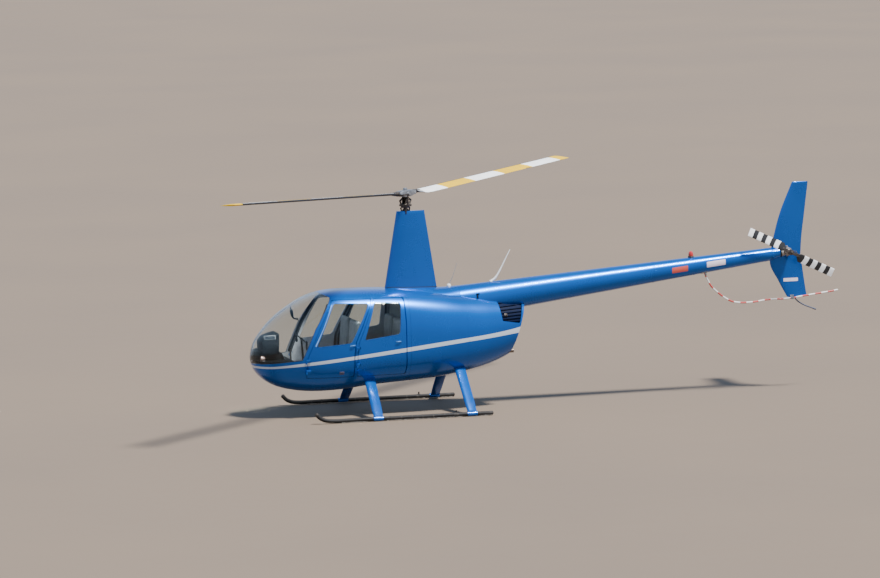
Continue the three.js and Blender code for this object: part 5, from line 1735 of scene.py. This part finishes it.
def blade_ring(rise, r, chord, wide, pitch, fatter=0.0):
    t, s = wing_section(wide / chord, 24).T
    c = (0.25 - t) * chord
    h = s * chord + np.sign(s) * fatter
    return np.stack([
        t * 0 + r * cos(rise),
        c * cos(pitch) - h * sin(pitch),
        BLADE_Z + r * sin(rise) + c * sin(pitch) + h * cos(pitch),
    ], 1)


def blade_skin(name, rise, radii, fatter=0.0):
    columns = [fair_curve(BLADE[:, 0], BLADE[:, k], np.asarray(radii)) for k in (1, 2, 3)]
    rings = [blade_ring(rise, r, c, w, ROOT_PITCH * p, fatter) for r, c, w, p in zip(radii, *columns)]
    return loft(name, rings)


def main_blade(rise):
    radii = np.concatenate([
        np.linspace(0.33, 0.52, 16), np.linspace(0.56, 4.96, 48), np.linspace(4.97, 5.03, 8),
    ])
    parts = [
        blade_skin("skin", rise, radii),
        blade_skin("doubler", rise, np.linspace(0.43, 0.66, 8), 0.0012),
        blade_skin("abrasion_strip", rise, np.linspace(4.6, 4.955, 6), 0.0006),
    ]
    tab = blade_ring(rise, 3.6, 0.262, 0.031, ROOT_PITCH * 0.79)[20]
    tab_block = block("trim_tab", 3.55, 3.72, -0.02, 0.0, -0.0012, 0.0012, 0.0004)
    parts.append(move(tab_block, Matrix.Translation((0, tab[1] - 0.004, tab[2] + 0.001))))
    return join("blade", *parts)


def blade_root(rise):
    ahead, climb = cos(rise), sin(rise)
    grip = lathe("grip", (0.175 * ahead, 0, BLADE_Z + 0.175 * climb), (ahead, 0, climb), [
        (0, 0.026), (0.004, 0.034), (0.05, 0.034), (0.056, 0.0365), (0.085, 0.0365), (0.092, 0.033),
        (0.15, 0.03), (0.2, 0.025), (0.245, 0.02),
    ])
    r0, r1, y, half, tall = HORN.values()
    heights = BLADE_Z - tall, BLADE_Z + tall
    arm = block("horn_arm", r1 - 0.032, r1, 0.01, y + half, *heights, 0.003)
    bar = block("horn_bar", r0, r1, y - half, y + half, *heights, 0.003)
    eye = lathe("horn_eye", (r0 + 0.01, y, BLADE_Z - 0.014), UP, [
        (0, 0.012), (0.003, 0.015), (0.024, 0.015), (0.028, 0.011),
    ], 24)
    parts = [grip, arm, bar, eye]
    for r in (0.355, 0.395):
        lift = BLADE_Z + r * climb
        for y in (-0.03, 0.028):
            parts.append(lathe("root_bolt", (r, y, lift + 0.01), UP, BOLT_HEAD, 6))
    return join("root", *parts)


for name, turn in (("a", 0.0), ("b", pi)):
    spin = HEAD_TURN @ Matrix.Rotation(turn, 4, "Z")
    skin = move(main_blade(BLADE_RISE[name]), spin)
    skin.name = f"blade_skin_{name}"
    hand_over(skin, [blade_top, blade_under], "blade_bands", f"main_blade_{name}", body="main_rotor")
    back = np.array(spin.inverted())
    # The underside's dark paint also goes on every face tilted well away from straight up and on the top
    # ahead of LEADING_DARK: painted shade over the leading edge
    paint_faces(skin, lambda centres, normals: (normals[:, 2] < 0.85) | (
        ((centres - (AXIS_X, 0, 0)) @ back[:3, :3].T)[:, 1] > LEADING_DARK), 1)
    root = move(blade_root(BLADE_RISE[name]), spin)
    root.name = f"blade_root_{name}"
    hand_over(root, dark_steel, "steel_bare", body="main_rotor")

# Skids, shoes and legs
SKID_Y = 1.09
SKID_R = 0.029
SKID_Z = 0.008 + SKID_R * cos(pi / 16)
SHOES = [(-1.29, -0.9), (-0.62, 0.52), (0.76, 0.96)]
LEGS = {
    "front": {"foot": -0.739, "top": -0.712, "y": 0.43, "z": 0.56},
    "rear": {"foot": 0.671, "top": 0.664, "y": 0.4, "z": 0.64},
}
# Share of the way up the leg, chord and thickness
LEG = [
    (0.05, 0.135, 0.046), (0.09, 0.14, 0.05), (0.2, 0.15, 0.052), (0.5, 0.155, 0.052),
    (1.0, 0.165, 0.052),
]
FLARE = [(0.035, 0.146, 0.066), (0.062, 0.142, 0.058), (0.085, 0.139, 0.051)]
belly = body_solid("belly", -FIT, 120, 96)
belly_plate = body_solid("belly_plate", -0.004, 120, 96)


def leg_ring(leg, k, chord, wide, more=0.0):
    x = leg["foot"] + (leg["top"] - leg["foot"]) * k
    y = SKID_Y + (leg["y"] - SKID_Y) * k
    z = SKID_Z + (leg["z"] - SKID_Z) * k
    t, s = wing_section(wide / chord, 16).T
    return np.stack([
        x + (t - 0.45) * (chord + 2 * more), y + s * chord + np.sign(s) * more, t * 0 + z,
    ], 1)


def skid_room(more):
    return rod("skid_room", (-1.5, SKID_Y, SKID_Z), (1.2, SKID_Y, SKID_Z), SKID_R + more, sides=48)


for row, leg in LEGS.items():
    leg_skin = loft("leg", [leg_ring(leg, *values) for values in LEG])
    tube_room = skid_room(FIT)
    cut_by(leg_skin, belly, tube_room)
    cuff = loft("cuff", [leg_ring(leg, k, 0.15 + 0.015 * k, 0.052, 0.014) for k in (0.3, 1.0)])
    keep_within(cuff, belly_plate, keep=True)
    cut_by(cuff, belly)
    foot = (leg["foot"] - 0.075, SKID_Y, SKID_Z)
    saddle = lathe("saddle", foot, AFT, broken_edges(0.0355, 0.15, 0.003, 0.0035))
    carve(saddle, tube_room)
    carve(saddle, block("shoe_room", -1.3, 1.0, SKID_Y - 0.027, SKID_Y + 0.027, -0.01, SKID_Z - 0.006))
    # The flare from the leg down on to its saddle
    flare = loft("flare", [leg_ring(leg, *values) for values in FLARE])
    carve(flare, skid_room(0.002))
    bolts = []
    for x in (-0.058, 0.058):
        for y in (-1, 1):
            start = (leg["foot"] + x, SKID_Y + y * 0.03, SKID_Z + 0.006)
            bolts.append(lathe("bolt", start, (0, y, 0.25), BOLT_HEAD, 6))
    whole = join("leg_whole", leg_skin, cuff, saddle, flare, *bolts)
    hand_over_pair(whole, f"leg_{row}_{{}}", blue_paint, "body_blue", f"{row}_leg_{{}}")
remove(belly, belly_plate)

toe = smooth_path([
    (-1.664, 0, 0.15), (-1.61, 0, 0.092), (-1.53, 0, 0.052), (-1.4, 0, SKID_Z), (-1.2, 0, SKID_Z),
], 10)
line = np.vstack([toe, [(x, 0, SKID_Z) for x in np.linspace(-1.1, 0.976, 14)]]) + np.array([0, SKID_Y, 0])
skid_parts = [
    tube("tube", line, SKID_R, 32),
    lathe("toe_cap", line[0] + np.array([-0.004, 0, 0.004]), line[1] - line[0], [
        (0, 0.022), (0.004, 0.0295), (0.03, 0.0305), (0.032, 0.029),
    ]),
    lathe("peg", (0.432, SKID_Y, SKID_Z + 0.02), UP, [
        (0, 0.016), (0.012, 0.016), (0.014, 0.011), (0.044, 0.011), (0.047, 0.008),
    ], 24),
    lathe("peg_collar", (0.4, SKID_Y, SKID_Z), AFT, broken_edges(0.032, 0.064, 0.002, 0.0028)),
]
shoe_parts = []
for x0, x1 in SHOES:
    plate = block("shoe", x0, x1, SKID_Y - 0.025, SKID_Y + 0.025, 0.0, SKID_Z - SKID_R * 0.8, 0.003)
    shoe_parts.append(carve(plate, skid_room(FIT)))
    for x in np.arange(x0 + 0.05, x1 - 0.02, 0.16):
        clip = broken_edges(0.031, 0.0195, 0.0015, 0.0018)
        skid_parts.append(lathe("clip", (x, SKID_Y, SKID_Z), AFT, clip, 32))
hand_over_pair(join("skid", *skid_parts), "skid_tube_{}", skid_black, "skid_dark", "skid_{}")
hand_over_pair(join("shoes", *shoe_parts), "skid_shoes_{}", shoe_steel, "skid_dark", "skid_{}")

# Beacon and antennas
BEACON_X = 4.385
top = boom_z(BEACON_X) + boom_r(BEACON_X)
base = lathe("beacon_base", (BEACON_X, 0, top - 0.01), UP, [
    (0, 0.044), (0.016, 0.044), (0.02, 0.042), (0.03, 0.039), (0.031, 0.03),
])
hand_over(carve(base, boom_part("room", 4.2, 4.6, 0.0002)), dark_steel, "beacon_red")
lens = lathe("beacon_lens", (BEACON_X, 0, top + 0.02), UP, [
    (0, 0.034), (0.001, 0.036), (0.006, 0.037), (0.038, 0.035), (0.054, 0.031), (0.065, 0.022),
    (0.071, 0.01), (0.072, 0.003),
])
hand_over(lens, red_lens, "beacon_red", "beacon")
WHIP_X = 1.281
whip_z = boom_z(WHIP_X) + boom_r(WHIP_X)
whip_path = smooth_path([(WHIP_X, 0, whip_z), (1.352, 0, 1.893), (1.581, 0, 2.298)], 14)
whip_r = np.interp(lengths_along(whip_path), [0, 0.1, 0.13, 0.56], [0.021, 0.016, 0.0145, 0.006])
whip = join(
    "antenna_aft",
    tube("whip", whip_path, whip_r, 20),
    lathe("foot", (WHIP_X, 0, whip_z - 0.012), UP, [
        (0, 0.026), (0.018, 0.026), (0.022, 0.024), (0.034, 0.016),
    ]),
    lathe("ferrule", (1.345, 0, 1.88), (0.5, 0, 0.86), [
        (0, 0.016), (0.002, 0.0178), (0.022, 0.0178), (0.024, 0.0155),
    ], 24),
)
carve(whip, boom_part("room", 1.1, 1.5, 0.0002))
hand_over(whip, white_plastic, "antenna_white", "aft_antenna")
puck = lathe("antenna_puck", (0.638, 0, 1.7), UP, [
    (0, 0.031), (0.098, 0.031), (0.114, 0.029), (0.126, 0.025), (0.133, 0.016), (0.136, 0.006),
])
carve(puck, hump_solid("hump", FIT))
hand_over(puck, white_plastic, "antenna_white", "forward_antenna")
wire_path = smooth_path([(0.64, 0, 1.832), (0.69, 0, 1.922), (0.767, 0, 2.14)], 10)
wire = tube("antenna_wire", wire_path, np.linspace(0.0048, 0.0028, len(wire_path)), 12)
hand_over(wire, grey_case, "antenna_white")


# Exhaust pipe
reach = EXHAUST["x1"] - EXHAUST["x0"]
pipe = lathe("pipe_exhaust", exhaust_at(EXHAUST["x0"] + FIT), AFT, [
    (0, 0.03), (reach - 0.06, 0.03), (reach - 0.058, 0.0308), (reach - 0.052, 0.0308),
    (reach - 0.05, 0.03), (reach - 0.002, 0.03), (reach - 0.0004, 0.0285), (reach - 0.002, 0.0265),
    (reach - 0.3, 0.0265),
])
hand_over(pipe, [hot_steel, soot_inside], "steel_bare", "exhaust_pipe")


def is_bore(centres, normals):
    far = np.hypot(centres[:, 1] - EXHAUST["y"], centres[:, 2] - EXHAUST["z"])
    return (far < 0.0272) & (centres[:, 0] > EXHAUST["x0"] + AXIS_X + 0.1)


paint_faces(pipe, is_bore, 1)


# Instrument console: pedestal, head with its hood, and the shelf in the nose
PEDESTAL = [(-1.995, 0.515), (-1.79, 0.515), (-1.83, 0.7), (-1.93, 0.95), (-2.16, 0.93)]
HEAD = [
    (-2.222, 0.932), (-1.985, 0.934), (-1.995, 1.0), (-1.975, 1.222), (-1.99, 1.246), (-2.08, 1.222),
    (-2.188, 1.186), (-2.236, 1.118),
]
# The head seen from ahead
HEAD_FRONT = [
    (-0.212, 0.92), (0.212, 0.92), (0.212, 1.06), (0.14, 1.262), (-0.14, 1.262), (-0.212, 1.06),
]
TUB = [(-2.372, 0.838), (-2.02, 0.838), (-2.02, 0.985), (-2.352, 0.985)]
SHELF_Z = 0.842
pedestal = bevel(prism("pedestal", rounded(PEDESTAL, 0.015, 4), -0.108, 0.108), 0.006, 3)
head = prism("head", rounded(HEAD, 0.018, 5), -0.22, 0.22)
head_front = rounded(HEAD_FRONT, 0.045)
keep_within(head, loft("head_zone", [[(x, y, z) for y, z in head_front] for x in (-2.4, -1.9)]))
bevel(head, 0.006, 3)
shelf = block("shelf", -2.3, -1.8, -0.43, 0.43, 0.812, SHELF_Z)
bevel(keep_within(shelf, body_solid("shelf_room", 0.026, 80, 64)), 0.004)
tub = prism("tub", rounded(TUB, 0.02), -0.098, 0.3)
bevel(keep_within(tub, body_solid("tub_room", 0.012, 80, 64)), 0.003)
console = join("console_body", pedestal, head, shelf, tub)
hand_over(console, trim, "trim_dark", "instrument_console")

# Dials on the head's aft face and radios on the pedestal
PANEL_OUT = (0.996, 0, -0.09)
PANEL_RISE = (0.09, 0, 0.996)


def on_panel(piece, y, z):
    return move(piece, face_frame((-1.9945 + 0.09 * (z - 1.0), y, z), PANEL_OUT, PANEL_RISE))


# Rows of dials: height, radius and places across
DIALS = [
    (1.182, 0.034, (-0.082, 0.0, 0.082)),
    (1.1, 0.036, (-0.132, -0.044, 0.044, 0.132)),
    (1.03, 0.022, (-0.165, -0.11, 0.11, 0.165)),
]
rims, faces, hands = [], [], []
for k, (y, z, r) in enumerate((y, z, r) for z, r, row in DIALS for y in row):
    rims.append(on_panel(lathe("rim", (0, 0, 0), ACROSS, [
        (-0.002, r), (0.004, r), (0.0055, r * 0.95), (0.005, r * 0.86), (0.0015, r * 0.84),
    ], 32), y, z))
    faces.append(on_panel(rod("face", (0, 0.0012, 0), (0, 0.0028, 0), r * 0.84, sides=32), y, z))
    # A hand from the middle, then eight marks round the rim
    marks = [(0.9 + 1.7 * k, 0, 0.66)] + [(angle, 0.62, 0.78) for angle in turns(8)]
    for angle, low, high in marks:
        mark = block("mark", -0.001, 0.001, 0.0026, 0.0034, r * low, r * high)
        hands.append(on_panel(move(mark, Matrix.Rotation(angle, 4, "Y")), y, z))
middle = on_panel(block("screen", -0.06, 0.06, -0.002, 0.006, -0.032, 0.026, 0.002), 0.0, 1.03)
slope_out, slope_rise = (0.928, 0, 0.371), (-0.371, 0, 0.928)
for k in range(4):
    centre = Vector((-1.85, 0, 0.75)) + Vector(slope_rise) * 0.05 * k
    way = face_frame(centre, slope_out, slope_rise)
    rims.append(move(block("radio", -0.082, 0.082, -0.004, 0.008, -0.021, 0.021, 0.0025), way))
    faces.append(move(block("window", -0.045, 0.045, 0.006, 0.0088, -0.01, 0.012, 0.001), way))
    for y in (-0.066, 0.066):
        knob = lathe("knob", (y, 0.007, 0), ACROSS, [(0, 0.01), (0.01, 0.009), (0.012, 0.007)], 16)
        rims.append(move(knob, way))
hand_over(join("panel_rims", *rims), screen_rim, "trim_dark")
hand_over(join("panel_glass", middle, *faces), screen, "trim_dark")
hand_over(join("panel_marks", *hands), placard_white, "trim_dark")
tablet_place = face_frame((-2.12, -0.17, 1.18), (0, -0.933, 0.359), (0, 0.359, 0.933))
tablet = block("tablet_rim", -0.089, 0.089, -0.006, 0.008, -0.034, 0.034, 0.005, 3)
hand_over(move(tablet, tablet_place), screen_rim, "trim_dark")
tablet = block("tablet_screen", -0.074, 0.074, 0.006, 0.0092, -0.024, 0.024, 0.002)
hand_over(move(tablet, tablet_place), screen, "trim_dark")

# Landing light on the nose shelf
lamp_at = Vector((-2.196, -0.18, SHELF_Z + 0.038))
lamp = lathe("lamp_body", lamp_at, (-1, 0, 0), [
    (0, 0.01), (0.003, 0.022), (0.016, 0.034), (0.03, 0.038), (0.056, 0.038), (0.058, 0.0395),
    (0.064, 0.0395), (0.066, 0.037), (0.06, 0.035), (0.04, 0.03), (0.026, 0.018), (0.022, 0.006),
])
hand_over(lamp, reflector, "lamp_clear", "landing_light")
lens = lathe("lamp_glass", lamp_at + Vector((-0.0595, 0, 0)), (-1, 0, 0), [
    (0, 0.0345), (0.0025, 0.0345), (0.005, 0.026), (0.0062, 0.014), (0.0066, 0.004),
])
hand_over(lens, lamp_lens, "lamp_clear")
foot = block("lamp_foot", -2.244, -2.206, -0.205, -0.155, SHELF_Z - 0.001, SHELF_Z + 0.01, 0.002)
hand_over(foot, alloy, "case_grey")

# Compass under the windshield's centre strip, with a small lamp on a bent arm
LAMP_ARM = [(-1.736, 0, 1.462), (-1.724, 0, 1.44), (-1.702, 0, 1.426), (-1.668, 0, 1.42)]
compass = join(
    "compass",
    tube("stalk", [(-1.768, 0, 1.612), (-1.752, 0, 1.55)], 0.009, 12),
    lathe("bowl", (-1.756, 0, 1.562), (0.2, 0, -0.98), [
        (0, 0.01), (0.004, 0.02), (0.02, 0.023), (0.06, 0.023), (0.09, 0.02), (0.106, 0.017),
        (0.11, 0.01),
    ]),
    tube("arm", smooth_path(LAMP_ARM, 8), 0.014, 12),
    lathe("lamp", (-1.676, 0, 1.421), (1, 0, -0.15), [
        (0, 0.012), (0.004, 0.018), (0.02, 0.019), (0.024, 0.014),
    ], 24),
)
hand_over(compass, trim, "trim_dark")

# Cyclic stick with its cross bar, grips and gaiter
stick_parts = [
    lathe("gaiter", (-1.57, 0, 0.515), (-0.03, 0, 1), [
        (0, 0.034), (0.006, 0.036), (0.012, 0.03), (0.02, 0.033), (0.027, 0.026), (0.034, 0.029),
        (0.041, 0.021), (0.048, 0.024), (0.058, 0.016),
    ]),
    tube("stick", [(-1.57, 0, 0.555), (-1.59, 0, 0.845), (-1.61, 0, 1.132)], 0.014, 20),
    tube("bar", [(-1.61, -0.33, 1.1), (-1.61, 0.33, 1.15)], 0.011, 16),
    lathe("pivot", (-1.61, -0.026, 1.124), ACROSS, [
        (0, 0.014), (0.003, 0.018), (0.048, 0.018), (0.052, 0.014),
    ], 24),
]
for side, z in ((-1, 1.1), (1, 1.15)):
    top, low = Vector((-1.61, side * 0.33, z + 0.022)), Vector((-1.602, side * 0.33, z - 0.112))
    way = (low - top).normalized()
    stick_parts.append(lathe("grip", top, way, [
        (0, 0.01), (0.004, 0.015), (0.016, 0.0165), (0.03, 0.0145), (0.042, 0.0165), (0.056, 0.015),
        (0.07, 0.017), (0.086, 0.0155), (0.104, 0.0175), (0.122, 0.0165), (0.132, 0.012),
    ], 24))
    stick_parts.append(rod("button", top, top - way * 0.007, 0.006, 0.005, 16))
hand_over(join("stick_cyclic", *stick_parts), trim, "trim_dark", "cyclic_stick")

# Collective levers and pedals
controls = []
for y in (-0.505, 0.0):
    controls.append(tube("lever", [(-1.286, y, 0.7), (-1.38, y, 0.745), (-1.44, y, 0.782)], 0.01, 16))
    controls.append(lathe("grip", (-1.42, y, 0.769), (-0.86, 0, 0.51), [
        (0, 0.012), (0.004, 0.0165), (0.05, 0.0175), (0.1, 0.0165), (0.106, 0.012),
    ], 24))
for y in (-0.265, -0.155, 0.155, 0.265):
    controls.append(tube("arm", [(-1.88, y, 0.516), (-1.915, y, 0.56), (-1.925, y, 0.6)], 0.008, 12))
    pad = block("pedal", -0.032, 0.032, -0.004, 0.004, -0.045, 0.045, 0.003)
    for k in range(5):
        z = -0.037 + 0.016 * k
        pad = join("pedal", pad, block("rib", -0.028, 0.028, 0.003, 0.006, z, z + 0.006, 0.001))
    controls.append(move(pad, face_frame((-1.925, y, 0.612), (0.94, 0, 0.34), (-0.34, 0, 0.94))))
hand_over(join("cabin_controls", *controls), trim, "trim_dark")


# Seats: padded cushions and backs, swollen as cloth and then sewn into channels
VOXEL = 0.012
PAD_CAP = 0.012
SEAT_Z = 0.7603
CHANNEL = {"pitch": 0.076, "depth": 0.008, "half": 0.0065}


def swollen(pad):
    """The pad remeshed and blown up a little as cloth, with a limit to each point's way."""
    modify(pad, "REMESH", mode="VOXEL", voxel_size=VOXEL)
    before = points_of(pad)
    only(pad)
    cloth = pad.modifiers.new("swell", "CLOTH")
    cloth.settings.use_pressure = True
    cloth.settings.uniform_pressure_force = 4.0
    cloth.settings.effector_weights.gravity = 0
    for step in range(1, 21):
        bpy.context.scene.frame_set(step)
    bpy.ops.object.modifier_apply(modifier=cloth.name)
    way = points_of(pad) - before
    far = np.linalg.norm(way, axis=1)[:, None]
    set_points(pad, before + way * np.minimum(1, PAD_CAP / np.maximum(far, 1e-9)))
    bpy.context.scene.frame_set(1)
    return modify(pad, "SUBSURF", levels=1)


def sewn(pad, reach, keep):
    """Sews channels across y, where keep is true."""
    points = points_of(pad)
    normals = vectors(pad.data.vertex_normals, "vector")
    lines = np.arange(-reach, reach + 0.001, CHANNEL["pitch"])
    off = np.abs(points[:, 1:2] - lines[None]).min(axis=1)
    depth = CHANNEL["depth"] * np.exp(-(off / CHANNEL["half"]) ** 2) * keep(points, normals)
    set_points(pad, points - normals * depth[:, None])
    return pad


cushion = swollen(block("cushion", -0.15, 0.15, -0.222, 0.222, 0.004, 0.082, 0.022, 4))
sewn(cushion, 0.152, lambda p, n: (n[:, 2] > -0.2) * np.clip((0.128 - p[:, 0]) / 0.02, 0, 1))
low = points_of(cushion)
low[:, 2] = np.maximum(low[:, 2], 0.0)
set_points(cushion, low)
seat_back = swollen(block("seat_back", -0.038, 0.036, -0.222, 0.222, 0.008, 0.64, 0.024, 4))
sewn(seat_back, 0.152, lambda p, n: (n[:, 0] < 0.2) * np.clip((0.6 - p[:, 2]) / 0.03, 0, 1))
LEAN = radians(5.4)
for name, side in SIDES.items():
    for row, x, back_x, long, wide, middle, node in (
        ("front", -1.116, -0.912, 1.0, 1.0, 0.2765, f"front_seat_{name}"),
        ("rear", -0.421, -0.247, 0.8, 1.08, 0.254, "rear_seat"),
    ):
        size = Matrix.Diagonal((long, wide, 1, 1))
        place = Matrix.Translation((x, side * middle, SEAT_Z)) @ size
        pad = move(twin(cushion, f"cushion_{row}_{name}"), place)
        hand_over(pad, hide, "seat_grey", node, angle=180)
        place = Matrix.Translation((back_x, side * middle, SEAT_Z)) @ Matrix.Rotation(LEAN, 4, "Y")
        pad = move(twin(seat_back, f"back_{row}_{name}"), place @ Matrix.Diagonal((1, wide, 1, 1)))
        hand_over(pad, hide, "seat_grey", node, angle=180)
remove(cushion, seat_back)

# The CAD pieces that stay get their finishes
for name, finish in (
    ("cabin_floor", carpet), ("firewall", primer), ("main_gearbox", grey_case), ("engine", engine_cast),
):
    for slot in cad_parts[name].material_slots:
        slot.material = finish


# Floor and backdrop
bpy.ops.mesh.primitive_circle_add(vertices=96, radius=900, fill_type="NGON", location=(0, 0, 0))
floor = latest("studio_floor")
floor.data.materials.append(
    simple("floor_paint", (0.182, 0.134, 0.092), (0.172, 0.126, 0.087), 0.75, 0.9, scale=0.15)
)

world = bpy.data.worlds.new("studio")
bpy.context.scene.world = world
world.use_nodes = True
sky = Tree(world.node_tree)
height = sky.split(sky.node("TexCoord").outputs["Generated"])[2]
shade = sky.ramp(
    height,
    [
        (0.0, (0.5, 0.55, 0.62)), (0.15, (0.62, 0.76, 0.95)), (0.55, (0.42, 0.6, 0.9)),
        (1.0, (0.1, 0.2, 0.42)),
    ],
    "EASE",
)
background = world.node_tree.nodes["Background"]
sky.feed(background.inputs[0], shade)
background.inputs[1].default_value = 1.0


# Soft sunlight
way = direction(radians(40), radians(64.6))
bpy.ops.object.light_add(type="SUN", location=way * 20)
sun = latest("key")
sun.data.angle = radians(8)
sun.data.energy = 9.0
sun.data.color = (1.0, 0.985, 0.96)
sun.rotation_mode = "QUATERNION"
sun.rotation_quaternion = way.to_track_quat("Z", "Y")
